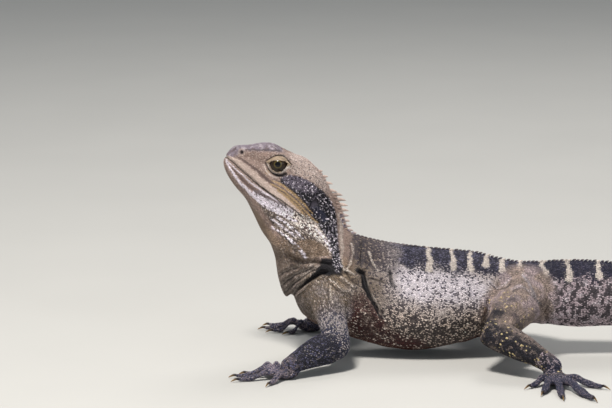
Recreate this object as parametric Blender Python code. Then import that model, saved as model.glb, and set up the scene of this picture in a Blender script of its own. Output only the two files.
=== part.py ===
"""Eastern water dragon, life size, standing still on four feet with its head raised.

The head points to -X, +Z is up, and the animal's left side is at -Y. The origin is on the floor, under
the middle of the whole animal. The sizes below are in millimetres, and each mesh is made in metres.
The trunk and tail are one long body, given by its back line and belly line, and cut across into lengths.
The head, jowls, throat and limbs are bodies of their own, each cut back by the one that it grows from.
"""

import math

import bmesh
import bpy
import numpy as np
from mathutils import Matrix, Vector

MM = 0.001
GAP = 0.3  # left between two pieces that meet
ORIGIN = (297.9, -7.2, 0.0)  # the middle of the whole animal, in the drawing's own coordinates

# Back line x z, belly line x z, half width: from the nape to the root of the tail
TRUNK = (
    (3.0, 125.0, -30.0, 103.0, 13.5),
    (11.6, 119.0, -26.0, 92.0, 15.0),
    (16.5, 109.8, -21.0, 82.0, 16.5),
    (20.5, 99.8, -16.5, 71.0, 17.5),
    (23.3, 91.0, -12.5, 60.0, 19.0),
    (26.0, 84.0, -10.5, 49.5, 21.0),
    (30.5, 80.8, -8.5, 40.0, 24.0),
    (37.5, 78.4, -4.0, 29.0, 26.5),
    (47.0, 76.0, 8.0, 19.5, 28.0),
    (58.0, 73.9, 30.0, 11.6, 29.5),
    (70.0, 72.2, 52.0, 5.2, 31.5),
    (84.0, 70.6, 76.0, 3.2, 32.5),
    (99.0, 69.2, 96.0, 6.6, 31.0),
    (114.0, 67.4, 114.0, 11.0, 28.0),
    (127.0, 63.8, 128.0, 15.5, 25.0),
    (139.0, 61.6, 141.0, 19.5, 22.5),
    (153.0, 61.4, 155.0, 20.5, 20.0),
    (168.0, 62.2, 169.0, 18.6, 17.5),
    (184.0, 62.2, 185.0, 18.0, 16.0),
    (201.0, 61.0, 202.0, 18.6, 14.8),
)
WIDEST = 0.46  # the widest level of the trunk, as a share of its depth above the belly
BACK_POWER = 1.75  # 2 is an ellipse, less is a sharper back
BELLY_POWER = 2.25

# Along the tail from the last trunk section: distance, depth, height of the underside, width over depth,
# and the compass turn of the tail in degrees
TAIL = (
    (0.0, 42.4, 18.6, 0.35, 0.0),
    (24.0, 39.5, 16.0, 0.35, 2.0),
    (50.0, 35.5, 11.0, 0.36, 8.0),
    (80.0, 30.5, 5.5, 0.37, 18.0),
    (110.0, 26.0, 1.6, 0.38, 26.0),
    (145.0, 21.0, 0.0, 0.39, 28.0),
    (190.0, 16.6, 0.0, 0.40, 20.0),
    (240.0, 13.0, 0.0, 0.42, 4.0),
    (290.0, 10.2, 0.0, 0.44, -12.0),
    (340.0, 7.8, 0.0, 0.46, -22.0),
    (390.0, 5.8, 0.0, 0.48, -24.0),
    (435.0, 3.9, 0.0, 0.50, -18.0),
    (472.0, 2.0, 0.0, 0.50, -10.0),
)
TAIL_LENGTH = TAIL[-1][0]
TAIL_FLAT = 0.25  # how far the tail's round underside sinks before it is made flat on the floor

# The head has its own axes: u runs back from the snout along the head, h is up across it
SNOUT = Vector((-54.5, 0.0, 129.5))
HEAD_PITCH = math.radians(28.0)
HEAD_YAW = math.radians(-4.0)
HEAD_PIVOT = Vector((4.0, 0.0, 100.0))
HEAD_TOP = (
    (0.0, 7.2), (1.2, 10.6), (4.0, 13.3), (9.9, 16.8), (13.6, 19.9), (17.9, 23.0), (22.8, 25.1),
    (26.7, 25.4), (31.0, 24.3), (37.5, 24.4), (43.4, 26.0), (48.0, 26.4), (55.2, 25.0), (63.2, 21.6),
    (70.0, 15.5), (77.0, 7.5), (84.0, -3.0),
)
HEAD_BOTTOM = (
    (0.0, -1.4), (1.3, -3.2), (4.3, -6.2), (9.4, -9.7), (15.4, -12.7), (20.5, -14.6), (25.2, -16.6),
    (28.8, -18.8), (34.0, -22.8), (43.6, -29.6), (53.3, -34.0), (62.0, -34.5), (72.0, -28.0),
    (84.0, -17.0),
)
MOUTH = (
    (0.0, 2.7), (4.5, 2.6), (11.5, 1.4), (20.5, -0.1), (29.6, -1.8), (42.6, -3.6), (55.0, -5.8), (84.0, -8.5),
)
BROW = (
    (0.0, 8.0), (1.6, 10.0), (5.5, 12.1), (10.3, 14.4), (15.7, 16.8), (21.8, 19.5), (28.2, 22.2),
    (35.0, 22.8), (42.0, 22.6), (50.0, 21.6), (58.0, 19.2), (66.0, 14.2), (75.0, 6.0), (84.0, -5.0),
)
BROW_WIDTH = (
    (0.0, 2.2), (1.6, 4.0), (5.5, 5.6), (10.3, 7.3), (15.7, 9.2), (21.8, 11.4), (28.2, 13.4), (36.0, 14.4),
    (50.0, 13.8), (62.0, 13.6), (72.0, 11.8), (78.0, 8.8), (84.0, 4.5),
)
CHEEK_WIDTH = (
    (0.0, 2.9), (1.6, 4.8), (5.5, 6.7), (10.3, 8.4), (15.7, 10.0), (21.8, 11.4), (28.2, 12.4), (36.0, 13.2),
    (46.0, 15.8), (58.0, 17.6), (65.0, 17.4), (72.0, 15.2), (78.0, 11.8), (84.0, 6.5),
)
LIP_WIDTH = (
    (0.0, 3.2), (1.6, 5.6), (5.5, 7.9), (10.3, 9.9), (15.7, 11.9), (21.8, 13.8), (28.2, 15.5), (36.0, 17.2),
    (46.0, 18.9), (58.0, 19.9), (65.0, 19.2), (72.0, 16.4), (78.0, 12.6), (84.0, 7.0),
)
JAW_WIDTH = (
    (0.0, 2.4), (1.6, 4.2), (5.5, 6.2), (10.3, 8.0), (21.8, 11.2), (36.0, 13.6), (50.0, 14.0), (66.0, 12.0),
    (84.0, 6.0),
)
LIP_GROOVE = 0.8  # how far the mouth line lies in from the lips
MOUTH_CORNER = 52.5  # along the head
JAW_HINGE = ((52.5, -6.5), (49.0, -18.0), (38.0, -48.0))  # where the lower jaw ends, in u and h

# The jowl, in head axes: upper edge u h, lower edge u h, middle of its width, half width
JOWL = (
    (46.0, -6.0, 48.0, -27.0, 11.0, 3.0),
    (55.0, -3.0, 57.0, -34.0, 12.0, 8.0),
    (67.0, -4.5, 68.0, -35.0, 13.2, 9.2),
    (78.0, -9.5, 78.0, -31.5, 14.2, 7.6),
    (87.0, -15.0, 85.0, -27.5, 15.2, 4.8),
    (93.0, -19.6, 91.5, -24.8, 16.2, 2.6),
    (96.0, -22.2, 95.6, -23.8, 16.8, 0.9),
)

# The loose throat: front edge x z, inner edge x z, half width
THROAT = (
    (-40.0, 104.0, -22.0, 108.0, 6.0),
    (-34.6, 93.0, -8.0, 101.0, 12.0),
    (-29.6, 82.5, 0.0, 91.0, 16.0),
    (-23.8, 73.6, 4.0, 80.0, 17.5),
    (-20.2, 63.6, 5.0, 70.0, 17.0),
    (-19.0, 53.0, 4.0, 60.0, 15.0),
    (-17.2, 44.2, 2.0, 52.0, 11.0),
    (-13.4, 37.6, -4.0, 44.5, 5.0),
)

EYE = (33.4, 16.4)  # u and h of its middle
EYE_SIDE = 9.3  # from the middle plane
EYE_RADIUS = 6.6
LID_RADII = (7.0, 5.2)  # along and across the head
LID_THICK = 1.35
LID_SIDE = 12.9  # the least that the ring of the lids stands out from the middle plane
NOSTRIL = (8.4, 11.2)
NOSTRIL_SIDE = 7.4
NOSTRIL_RADIUS = 1.0
EAR = (66.1, 5.6)
EAR_RADIUS = 2.9
EAR_FLOOR = 17.6  # from the middle plane

# Limbs: a radius over the length of each bone, as share of length, half width, half thickness
UPPER_ARM = ((0.0, 11.6, 10.4), (0.35, 10.6, 9.8), (0.7, 9.0, 8.8), (1.0, 8.2, 8.0))
FOREARM = ((0.0, 8.8, 9.0), (0.25, 10.2, 10.4), (0.6, 8.8, 8.6), (1.0, 6.4, 5.5))
THIGH = ((0.0, 17.0, 15.0), (0.4, 15.2, 13.4), (0.75, 12.0, 11.2), (1.0, 10.2, 9.8))
SHANK = ((0.0, 10.0, 9.6), (0.3, 10.4, 9.6), (0.7, 7.6, 7.2), (1.0, 6.2, 5.6))

SHOULDER = (11.0, 18.0, 47.0)
LEFT_ELBOW = (21.0, 50.0, 16.5)
LEFT_WRIST = (-10.0, 75.0, 8.6)
RIGHT_ELBOW = (36.0, 46.0, 18.0)
RIGHT_WRIST = (6.5, 67.0, 8.6)
HIP = (143.0, 14.0, 40.0)
LEFT_KNEE = (122.0, 59.0, 25.0)
LEFT_ANKLE = (158.0, 84.0, 10.0)
RIGHT_KNEE = (112.0, 52.0, 27.0)
RIGHT_ANKLE = (132.0, 84.0, 10.0)

# A hand or foot in its own axes, straight ahead is 0 degrees and the thumb side is positive:
# root ahead, root aside, heading, length, root radius, rise of the knuckle
FINGERS = (
    (6.0, 5.6, 36.0, 14.0, 2.0, 4.4),
    (9.5, 3.4, 16.0, 20.0, 2.05, 4.8),
    (10.5, 0.4, 1.0, 24.5, 2.1, 3.2),
    (9.5, -2.8, -17.0, 25.0, 2.15, 1.4),
    (5.0, -5.6, -62.0, 18.0, 2.2, 1.2),
)
TOES = (
    (8.0, 6.5, 52.0, 15.0, 2.4, 1.6),
    (15.0, 4.8, 24.0, 22.0, 2.6, 1.8),
    (17.5, 1.2, 5.0, 31.0, 2.7, 2.0),
    (16.5, -3.0, -16.0, 40.0, 2.8, 2.0),
    (8.0, -6.5, -50.0, 26.0, 2.5, 1.8),
)
PALM = (9.0, 7.6, 3.6)  # half length, half width, half height
PALM_AHEAD = 3.5
SOLE = (14.0, 8.2, 4.2)
SOLE_AHEAD = 6.5
LEFT_HAND_HEADING = 180.0
RIGHT_HAND_HEADING = 174.0
LEFT_FOOT_HEADING = -83.0
RIGHT_FOOT_HEADING = 150.0
CLAW_LENGTH = (5.0, 6.0)  # on the hands and on the feet
CLAW_RADIUS = 1.0

# The crest: a row of flat spines from the nape to the thin end of the tail
HEAD_SPINES = ((59.5, 2.2), (63.2, 3.4), (66.8, 4.8), (70.4, 6.2))  # u on the head, height
NAPE_SPINES = (7.6, 8.5, 8.6, 7.8, 6.9, 6.2, 5.6, 4.6, 3.4)  # heights
NAPE_PITCH = 3.75
NAPE_START = 24.4  # along the back line from the neck's first section
NAPE_LEAN = math.radians(26.0)
HEAD_LEAN = math.radians(12.0)
BACK_SPINE = 2.2
BACK_PITCH = 4.4
BACK_LEAN = math.radians(48.0)
TAIL_SPINE = 1.9
TAIL_PITCH = 6.0
CREST_END = 280.0  # along the tail

# Cuts across the trunk and tail, as distance from the nape along the middle of the body
NECK_END = 58.0
TORSO_END = 195.0
TAIL_CUTS = (262.0, 350.0, 450.0, 565.0)


def smooth_curve(keys):
    """A smooth function through keys of (place, value or values); it holds its ends beyond them."""
    table = np.array(keys, float)
    place, value = table[:, 0], table[:, 1:]
    step = np.diff(place)[:, None]
    slope = np.diff(value, axis=0) / step
    tangent = np.zeros_like(value)
    tangent[1:-1] = (slope[:-1] * step[1:] + slope[1:] * step[:-1]) / (step[1:] + step[:-1])
    tangent[0], tangent[-1] = slope[0], slope[-1]

    def at(where):
        where = np.clip(np.atleast_1d(np.asarray(where, float)), place[0], place[-1])
        i = np.clip(np.searchsorted(place, where, side="right") - 1, 0, len(place) - 2)
        span = (place[i + 1] - place[i])[:, None]
        t = (where - place[i])[:, None] / span
        found = (
            (2 * t**3 - 3 * t**2 + 1) * value[i]
            + (t**3 - 2 * t**2 + t) * span * tangent[i]
            + (3 * t**2 - 2 * t**3) * value[i + 1]
            + (t**3 - t**2) * span * tangent[i + 1]
        )
        return found[:, 0] if found.shape[1] == 1 else found

    return at


def tail_stations():
    """The sections of the tail, as back line, belly line and half width, along its turning path."""
    shape = smooth_curve(TAIL)
    x, y, z = TRUNK[-1][2], 0.0, 0.0
    rows, step, done = [], 2.0, 0.0
    for place in [row[0] for row in TAIL[1:]]:
        while done < place - 1e-6:
            turn = math.radians(shape(done + step / 2)[0][3])
            x += step * math.cos(turn)
            y += step * math.sin(turn)
            done += step
        depth, z, flat, _ = shape(place)[0]
        rows.append((x, y, z + depth, x, y, z, depth * flat))
    return rows


def body_curves():
    """Back line, belly line and half width as one function of the distance along the body's middle."""
    rows = [(dx, 0.0, dz, vx, 0.0, vz, w) for dx, dz, vx, vz, w in TRUNK] + tail_stations()
    table = np.array(rows, float)
    middle = (table[:, 0:3] + table[:, 3:6]) / 2
    along = np.concatenate([[0.0], np.cumsum(np.linalg.norm(np.diff(middle, axis=0), axis=1))])
    return smooth_curve(np.column_stack([along, table])), along[-1]


BODY, BODY_LENGTH = body_curves()
TRUNK_LENGTH = BODY_LENGTH - TAIL_LENGTH


def body_frames(places):
    """For each place along the body: its middle, up and side directions, heights and half width."""
    found = BODY(places)
    back, belly, width = found[:, 0:3], found[:, 3:6], found[:, 6]
    depth = np.linalg.norm(back - belly, axis=1)
    up = (back - belly) / depth[:, None]
    middle = belly + WIDEST * (back - belly)
    ahead, behind = BODY(np.asarray(places) + 1.0), BODY(np.asarray(places) - 1.0)
    along = (ahead[:, 0:3] + ahead[:, 3:6]) - (behind[:, 0:3] + behind[:, 3:6])
    side = np.cross(up, along)
    side /= np.linalg.norm(side, axis=1)[:, None]
    return middle, up, side, depth * (1 - WIDEST), depth * WIDEST, width


def body_rings(places, sides, grow=0.0):
    """Closed sections of the body, each as points round from the back over the left side."""
    middle, up, side, above, below, width = body_frames(places)
    turn = np.linspace(0, 2 * math.pi, sides, endpoint=False)
    c, s = np.cos(turn), np.sin(turn)
    power = np.where(c > 0, BACK_POWER, BELLY_POWER)
    high = np.sign(c) * np.abs(c) ** (2 / power)
    wide = np.sign(s) * np.abs(s) ** (2 / power)
    tall = np.where(c > 0, above[:, None], below[:, None]) + grow
    return (
        middle[:, None, :]
        + up[:, None, :] * (high * tall)[:, :, None]
        - side[:, None, :] * (wide * (width[:, None] + grow))[:, :, None]
    )


def head_place(u, side, h):
    """A point given in head axes, side being positive to the animal's left."""
    back = Vector((math.cos(HEAD_PITCH), 0.0, -math.sin(HEAD_PITCH)))
    up = Vector((math.sin(HEAD_PITCH), 0.0, math.cos(HEAD_PITCH)))
    point = SNOUT + back * u + up * h + Vector((0.0, -side, 0.0))
    return HEAD_PIVOT + Matrix.Rotation(HEAD_YAW, 3, "Z") @ (point - HEAD_PIVOT)


HEAD_CURVES = {
    name: smooth_curve(keys)
    for name, keys in (
        ("top", HEAD_TOP), ("bottom", HEAD_BOTTOM), ("mouth", MOUTH), ("brow", BROW),
        ("brow_width", BROW_WIDTH), ("cheek_width", CHEEK_WIDTH), ("lip_width", LIP_WIDTH),
        ("jaw_width", JAW_WIDTH),
    )
}


def head_half_section(u, grow):
    """The left half of the head's outline at u, from the crown to the chin, as (side, h) points."""
    top, bottom, mouth, brow, brow_w, cheek_w, lip_w, jaw_w = (
        float(HEAD_CURVES[name](u)[0]) for name in HEAD_CURVES
    )
    lip = min(3.0, 0.35 * (brow - mouth))
    chin = min(3.5, 0.4 * (mouth - bottom))
    keys = (
        (0.0, 0.0, top),
        (1.0, 0.55 * brow_w, brow + 0.82 * (top - brow)),
        (2.0, brow_w, brow),
        (3.0, cheek_w, mouth + 0.55 * (brow - mouth)),
        (4.0, lip_w, mouth + lip),
        (5.0, lip_w - LIP_GROOVE, mouth),
        (6.0, lip_w - 0.4, mouth - chin),
        (7.0, 0.5 * (lip_w + jaw_w) + 0.6, mouth + 0.5 * (bottom - mouth)),
        (8.0, 0.72 * jaw_w, bottom + 0.16 * (mouth - bottom)),
        (9.0, 0.0, bottom),
    )
    outline = smooth_curve(keys)
    steps = (0, 0.5, 1, 1.5, 2, 2.5, 3, 3.5, 4, 4.6, 5, 5.4, 6, 6.5, 7, 7.5, 8, 8.5, 9)
    points = outline(steps)
    points[1:-1, 0] += grow
    points[0, 1] += grow
    points[-1, 1] -= grow
    return points


def head_rings(grow=0.0):
    """Closed sections of the head from the snout to its hind end inside the neck."""
    places = (0.0, 0.7, 2.0, 4.0, 7.0, 10.5, 14.5, 18.5, 22.5, 26.0, 29.0, 32.0, 35.0, 38.0, 41.5, 45.5,
              50.0, 55.0, 60.0, 64.5, 69.0, 73.0, 77.0, 80.5, 83.5)
    rings = []
    for u in places:
        half = head_half_section(u, grow)
        full = [(side, h) for side, h in half] + [(-side, h) for side, h in half[-2:0:-1]]
        rings.append([head_place(u + (grow if u > 40 else -grow), side, h) for side, h in full])
    return np.array(rings)


def pair_rings(stations, sides, power=2.0, grow=0.0):
    """Rings between an upper and a lower edge: each station is two edge points, side and half width."""
    rings = []
    turn = np.linspace(0, 2 * math.pi, sides, endpoint=False)
    for upper, lower, out, half in stations:
        upper, lower, out = Vector(upper), Vector(lower), Vector(out)
        middle, reach = (upper + lower) / 2, (upper - lower) / 2
        reach = reach.normalized() * (reach.length + grow)
        rings.append([
            middle
            + reach * (math.copysign(abs(math.cos(a)) ** (2 / power), math.cos(a)))
            + out * ((half + grow) * math.copysign(abs(math.sin(a)) ** (2 / power), math.sin(a)))
            for a in turn
        ])
    return np.array([[list(p) for p in ring] for ring in rings])


def new_object(name, bm):
    """An object of the drawing's millimetres, made in metres about the origin."""
    bmesh.ops.recalc_face_normals(bm, faces=bm.faces)
    bmesh.ops.translate(bm, verts=bm.verts, vec=-Vector(ORIGIN))
    bmesh.ops.scale(bm, verts=bm.verts, vec=(MM, MM, MM))
    mesh = bpy.data.meshes.new(name)
    bm.to_mesh(mesh)
    bm.free()
    obj = bpy.data.objects.new(name, mesh)
    WORK.objects.link(obj)
    return obj


def loft(name, rings):
    """A closed body through rings of points that all have the same count."""
    bm = bmesh.new()
    loops = [[bm.verts.new(p) for p in ring] for ring in rings]
    count = len(loops[0])
    for first, second in zip(loops, loops[1:]):
        for i in range(count):
            j = (i + 1) % count
            bm.faces.new((first[i], first[j], second[j], second[i]))
    bm.faces.new(loops[0][::-1])
    bm.faces.new(loops[-1])
    return new_object(name, bm)


def evaluated_mesh(obj):
    bpy.context.view_layer.update()
    graph = bpy.context.evaluated_depsgraph_get()
    return bpy.data.meshes.new_from_object(obj.evaluated_get(graph))


def apply_modifiers(obj):
    mesh = evaluated_mesh(obj)
    old = obj.data
    obj.modifiers.clear()
    obj.data = mesh
    bpy.data.meshes.remove(old)


def keep_largest(obj):
    """Drops any loose scrap that a union or a cut leaves."""
    bm = bmesh.new()
    bm.from_mesh(obj.data)
    left, shells = set(bm.verts), []
    while left:
        shell, edge = set(), [left.pop()]
        while edge:
            vert = edge.pop()
            shell.add(vert)
            for link in vert.link_edges:
                other = link.other_vert(vert)
                if other in left:
                    left.discard(other)
                    edge.append(other)
        shells.append(shell)
    largest = max(shells, key=len)
    spare = [v for v in bm.verts if v not in largest]
    bmesh.ops.delete(bm, geom=spare, context="VERTS")
    bm.to_mesh(obj.data)
    bm.free()


def join_pieces(obj, pieces):
    """One Boolean union of obj with closed pieces, which are then removed."""
    group = bpy.data.collections.new(obj.name + "_pieces")
    for piece in pieces:
        group.objects.link(piece)
    union = obj.modifiers.new("union", "BOOLEAN")
    union.operation = "UNION"
    union.operand_type = "COLLECTION"
    union.collection = group
    union.solver = "EXACT"
    apply_modifiers(obj)
    for piece in pieces:
        bpy.data.objects.remove(piece)
    bpy.data.collections.remove(group)
    keep_largest(obj)
    return obj


def cut(obj, cutters, operation="DIFFERENCE"):
    """Cuts obj by each cutter in turn; the cutters stay. The exact solver loses the head at a cut."""
    for cutter in cutters:
        change = obj.modifiers.new("cut", "BOOLEAN")
        change.operation = operation
        change.object = cutter
        change.solver = "MANIFOLD"
        apply_modifiers(obj)
    keep_largest(obj)
    return obj


def grown(obj, by=GAP):
    """A copy of obj whose skin lies this much further out, for cutting its neighbours."""
    copy = bpy.data.objects.new(obj.name + "_grown", obj.data.copy())
    WORK.objects.link(copy)
    push = copy.modifiers.new("grow", "DISPLACE")
    push.strength = by * MM
    push.mid_level = 0.0
    apply_modifiers(copy)
    CUTTERS.append(copy)
    return copy


def primitive(name, make, place=(0, 0, 0), scale=(1, 1, 1), turn=None, **settings):
    """A bmesh primitive in millimetres, scaled, turned and placed in the drawing."""
    bm = bmesh.new()
    make(bm, **settings)
    bmesh.ops.scale(bm, verts=bm.verts, vec=scale)
    if turn is not None:
        bmesh.ops.rotate(bm, verts=bm.verts, matrix=turn)
    bmesh.ops.translate(bm, verts=bm.verts, vec=place)
    return new_object(name, bm)


def head_turn():
    """Turns the X, Y and Z of a primitive to the head's back, right and up directions."""
    return Matrix.Rotation(HEAD_YAW, 3, "Z") @ Matrix.Rotation(HEAD_PITCH, 3, "Y")


def spine(name, root, up, back, height, lean, width):
    """A flat thorn that leans back, its root sunk below the skin."""
    sunk = 0.35 * height + 0.6
    direction = up * math.cos(lean) + back * math.sin(lean)
    bm = bmesh.new()
    bmesh.ops.create_cone(
        bm, cap_ends=True, segments=5 if height > 3.0 else 4, radius1=width, radius2=0.12 * width,
        depth=height + sunk,
    )
    bmesh.ops.scale(bm, verts=bm.verts, vec=(0.62, 1.0, 1.0))
    side = up.cross(back)
    matrix = Matrix((side, side.cross(direction) * -1, direction)).transposed()
    bmesh.ops.rotate(bm, verts=bm.verts, matrix=matrix)
    bmesh.ops.translate(bm, verts=bm.verts, vec=root + direction * ((height - sunk) / 2))
    return new_object(name, bm)


def crest(start, end):
    """The crest's spines between two distances along the body."""
    made = []
    for place, height, lean, width in crest_plan():
        if not start + 2.0 < place < end - 2.0:
            continue
        middle, up, side, above, _, _ = body_frames([place])
        up, side = Vector(up[0]), Vector(side[0])
        root = Vector(middle[0]) + up * (above[0] - 0.25)
        back = side.cross(up)
        made.append(spine("crest_spine", root, up, back, height, lean, width))
    return made


def head_crest():
    """The first spines of the crest, which stand on the hind end of the head."""
    made = []
    for u, height in HEAD_SPINES:
        near, far = (float(HEAD_CURVES["top"](u + d)[0]) for d in (-1.0, 1.0))
        back = (head_place(u + 1.0, 0.0, far) - head_place(u - 1.0, 0.0, near)).normalized()
        up = Vector((0.0, 1.0, 0.0)).cross(back) * -1.0
        root = head_place(u, 0.0, float(HEAD_CURVES["top"](u)[0]) - 0.25)
        made.append(spine("head_spine", root, up, back, height, HEAD_LEAN, 1.45 + 0.06 * height))
    return made


def crest_plan():
    """Place along the body, height, lean and root width of every spine of the crest."""
    places = np.linspace(0, BODY_LENGTH, 1200)
    ridge = BODY(places)[:, 0:3]
    run = np.concatenate([[0.0], np.cumsum(np.linalg.norm(np.diff(ridge, axis=0), axis=1))])
    plan, at = [], NAPE_START
    for height in NAPE_SPINES:
        plan.append((float(np.interp(at, run, places)), height, NAPE_LEAN, 1.45 + 0.06 * height))
        at += NAPE_PITCH
    number = 0
    while True:
        place = float(np.interp(at, run, places))
        along_tail = place - TRUNK_LENGTH
        if along_tail > CREST_END:
            return plan
        fade = 1.0 - 0.55 * max(0.0, along_tail) / CREST_END
        height = (BACK_SPINE if along_tail < 0 else TAIL_SPINE) * fade
        height *= 1.0 + 0.16 * math.sin(2.4 * number)
        plan.append((place, height, BACK_LEAN, 1.45 * fade))
        at += BACK_PITCH if along_tail < 0 else TAIL_PITCH
        number += 1


def body_length(name, start, end, rings, sides, with_crest=True):
    """One length of the trunk or tail, between two cuts, with its part of the crest."""
    places = np.linspace(start, end, rings)
    points = body_rings(places, sides)
    points[:, :, 2] = np.maximum(points[:, :, 2], 0.0)
    node = loft(name, points)
    if with_crest:
        spines = crest(start, end)
        if spines:
            join_pieces(node, spines)
    return node


def limb_bone(name, start, end, profile, sides, rings, bow=0.0, grow=0.0):
    """A limb from joint to joint with round ends, bulging as its profile says."""
    start, end = Vector(start), Vector(end)
    along = (end - start).normalized()
    length = (end - start).length
    out = along.cross(Vector((0, 0, 1))).normalized()
    across = out.cross(along)
    shape = smooth_curve(profile)
    first, last = shape(0.0)[0][0] * 0.85, shape(1.0)[0][0] * 0.85
    runs = [-first * k for k in (0.97, 0.75, 0.4)]
    runs += [length * k for k in np.linspace(0, 1, rings)]
    runs += [length + last * k for k in (0.4, 0.75, 0.97)]
    turn = np.linspace(0, 2 * math.pi, sides, endpoint=False)
    points = []
    for run in runs:
        share = min(max(run / length, 0.0), 1.0)
        wide, thick = shape(share)[0]
        beyond = max(-run / first, (run - length) / last, 0.0)
        fade = math.sqrt(1.0 - beyond**2)
        middle = start + along * run + across * (bow * math.sin(math.pi * share))
        points.append([
            list(middle + out * (math.cos(a) * wide * fade) + across * (math.sin(a) * thick * fade))
            for a in turn
        ])
    return loft(name, points)


def digit(name, root, heading, length, radius, arch, sides=6):
    """A finger or toe that rises over its knuckle and comes down to a blunt end on the floor."""
    direction = Vector((math.cos(heading), math.sin(heading), 0.0))
    out = Vector((-direction.y, direction.x, 0.0))
    low = radius / 2.4  # thin digits lie lower, so that they too touch the floor
    rise = smooth_curve((
        (-0.25, 3.0, 1.05), (0.0, 3.6 + 0.2 * arch, 1.1), (0.3, 3.4 + arch, 1.0),
        (0.5, 2.2 + 0.55 * arch, 0.92), (0.64, 2.1 * low + 0.08 * arch, 1.0), (0.85, 1.7 * low, 0.74),
        (1.0, 1.75 * low, 0.62),
    ))
    shares = (-0.25, 0.02, 0.18, 0.32, 0.46, 0.62, 0.82, 1.0)
    turn = np.linspace(0, 2 * math.pi, sides, endpoint=False)
    points = []
    for share in shares:
        high, fat = rise(share)[0]
        middle = Vector(root) + direction * (length * share)
        middle.z = high
        fat *= radius
        points.append([
            list(middle + out * (math.cos(a) * fat) + Vector((0, 0, math.sin(a) * fat * 0.95)))
            for a in turn
        ])
    tip = Vector(root) + direction * length
    tip.z = rise(1.0)[0][0]
    return loft(name, points), tip, direction


def claw(name, tip, direction, length):
    """A hooked claw that starts just ahead of its digit's end and curves down to the floor."""
    out = Vector((-direction.y, direction.x, 0.0))
    start = tip + direction * GAP
    rings = []
    for share, drop, fat in ((0.0, 0.0, 1.0), (0.3, -0.35, 0.86), (0.62, 0.1, 0.6), (1.0, 1.0, 0.14)):
        middle = start + direction * (length * share)
        middle.z = start.z - drop * (start.z - 0.35)
        slope = Vector((0, 0, 1)) if share < 0.5 else (Vector((0, 0, 1)) + direction * 0.6).normalized()
        rings.append([
            list(middle + (out * (math.cos(a) * 0.7) + slope * math.sin(a)) * (CLAW_RADIUS * fat))
            for a in np.linspace(0, 2 * math.pi, 6, endpoint=False)
        ])
    return loft(name, rings)


def paw(name, wrist, heading_deg, side, digits, pad, pad_ahead, claw_length, claw_name, limb):
    """A hand or foot: its pad and digits as one body with a flat underside, and its claws."""
    heading = math.radians(heading_deg)
    ahead = Vector((math.cos(heading), math.sin(heading), 0.0))
    thumbward = Vector((-ahead.y, ahead.x, 0.0)) * (-1.0 if side == "left" else 1.0)
    floor_point = Vector((wrist[0], wrist[1], 0.0))
    body = primitive(
        name, bmesh.ops.create_uvsphere, u_segments=12, v_segments=7, radius=1.0, scale=pad,
        turn=Matrix.Rotation(heading, 3, "Z"),
        place=floor_point + ahead * pad_ahead + Vector((0, 0, pad[2] - 0.3)),
    )
    pieces, claws = [], []
    for number, (forward, aside, angle, length, radius, arch) in enumerate(digits, 1):
        root = floor_point + ahead * forward + thumbward * aside
        turn = heading + math.radians(angle) * (-1.0 if side == "left" else 1.0)
        finger, tip, direction = digit(f"{name}_{number}", root, turn, length, radius, arch)
        pieces.append(finger)
        claws.append(claw(f"{claw_name}_{number}", tip, direction, claw_length))
    ankle = primitive(
        name + "_root", bmesh.ops.create_uvsphere, u_segments=10, v_segments=7, radius=1.0,
        scale=(6.4, 6.0, 5.4), place=Vector(wrist),
    )
    join_pieces(body, pieces + [ankle])
    floor = primitive("floor_cutter", bmesh.ops.create_cube, size=1.0, scale=(200, 200, 20),
                      place=floor_point - Vector((0, 0, 10)))
    CUTTERS.append(floor)
    cut(body, [grown(limb), floor])
    return body, claws


def mirrored(point, side):
    """A limb point given by its distance from the middle plane, on the left or the right side."""
    return (point[0], -point[1] if side == "left" else point[1], point[2])


def make_head():
    """The head with its jowls, lids, sockets, ears and nostrils, and the lower jaw cut from it."""
    head = loft("head", head_rings())
    pieces = []
    for sign in (1.0, -1.0):
        stations = [
            (head_place(ua, sign * mid, ha), head_place(ub, sign * mid, hb),
             head_place(0, -1, 0) - head_place(0, 0, 0), half)
            for ua, ha, ub, hb, mid, half in JOWL
        ]
        pieces.append(loft("jowl", pair_rings(stations, 10)))
        pieces.append(make_lid(sign))
    pieces += head_crest()
    join_pieces(head, pieces)
    whole = grown(head, 1.8 * GAP)  # more, because its creases keep less than they are given
    sockets = []
    for sign in (1.0, -1.0):
        sockets.append(primitive(
            "socket", bmesh.ops.create_uvsphere, u_segments=16, v_segments=10, radius=EYE_RADIUS + GAP,
            place=head_place(EYE[0], sign * EYE_SIDE, EYE[1])))
        sockets.append(primitive(
            "nostril", bmesh.ops.create_uvsphere, u_segments=8, v_segments=6, radius=NOSTRIL_RADIUS,
            place=head_place(NOSTRIL[0], sign * NOSTRIL_SIDE, NOSTRIL[1]), scale=(1.0, 1.4, 1.0)))
        sockets.append(primitive(
            "ear", bmesh.ops.create_cone, cap_ends=True, segments=12, radius1=EAR_RADIUS, radius2=EAR_RADIUS,
            depth=10.0, turn=head_turn() @ Matrix.Rotation(math.pi / 2, 3, "X"),
            place=head_place(EAR[0], sign * (EAR_FLOOR + 5.0), EAR[1])))
    jaw = bpy.data.objects.new("lower_jaw", head.data.copy())
    WORK.objects.link(jaw)
    wide, narrow = jaw_block("jaw_cutter", GAP / 2), jaw_block("jaw_keeper", -GAP / 2)
    cut(jaw, [narrow], "INTERSECT")
    cut(head, [wide] + sockets)
    CUTTERS.extend([wide, narrow] + sockets)
    return head, jaw, whole


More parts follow.
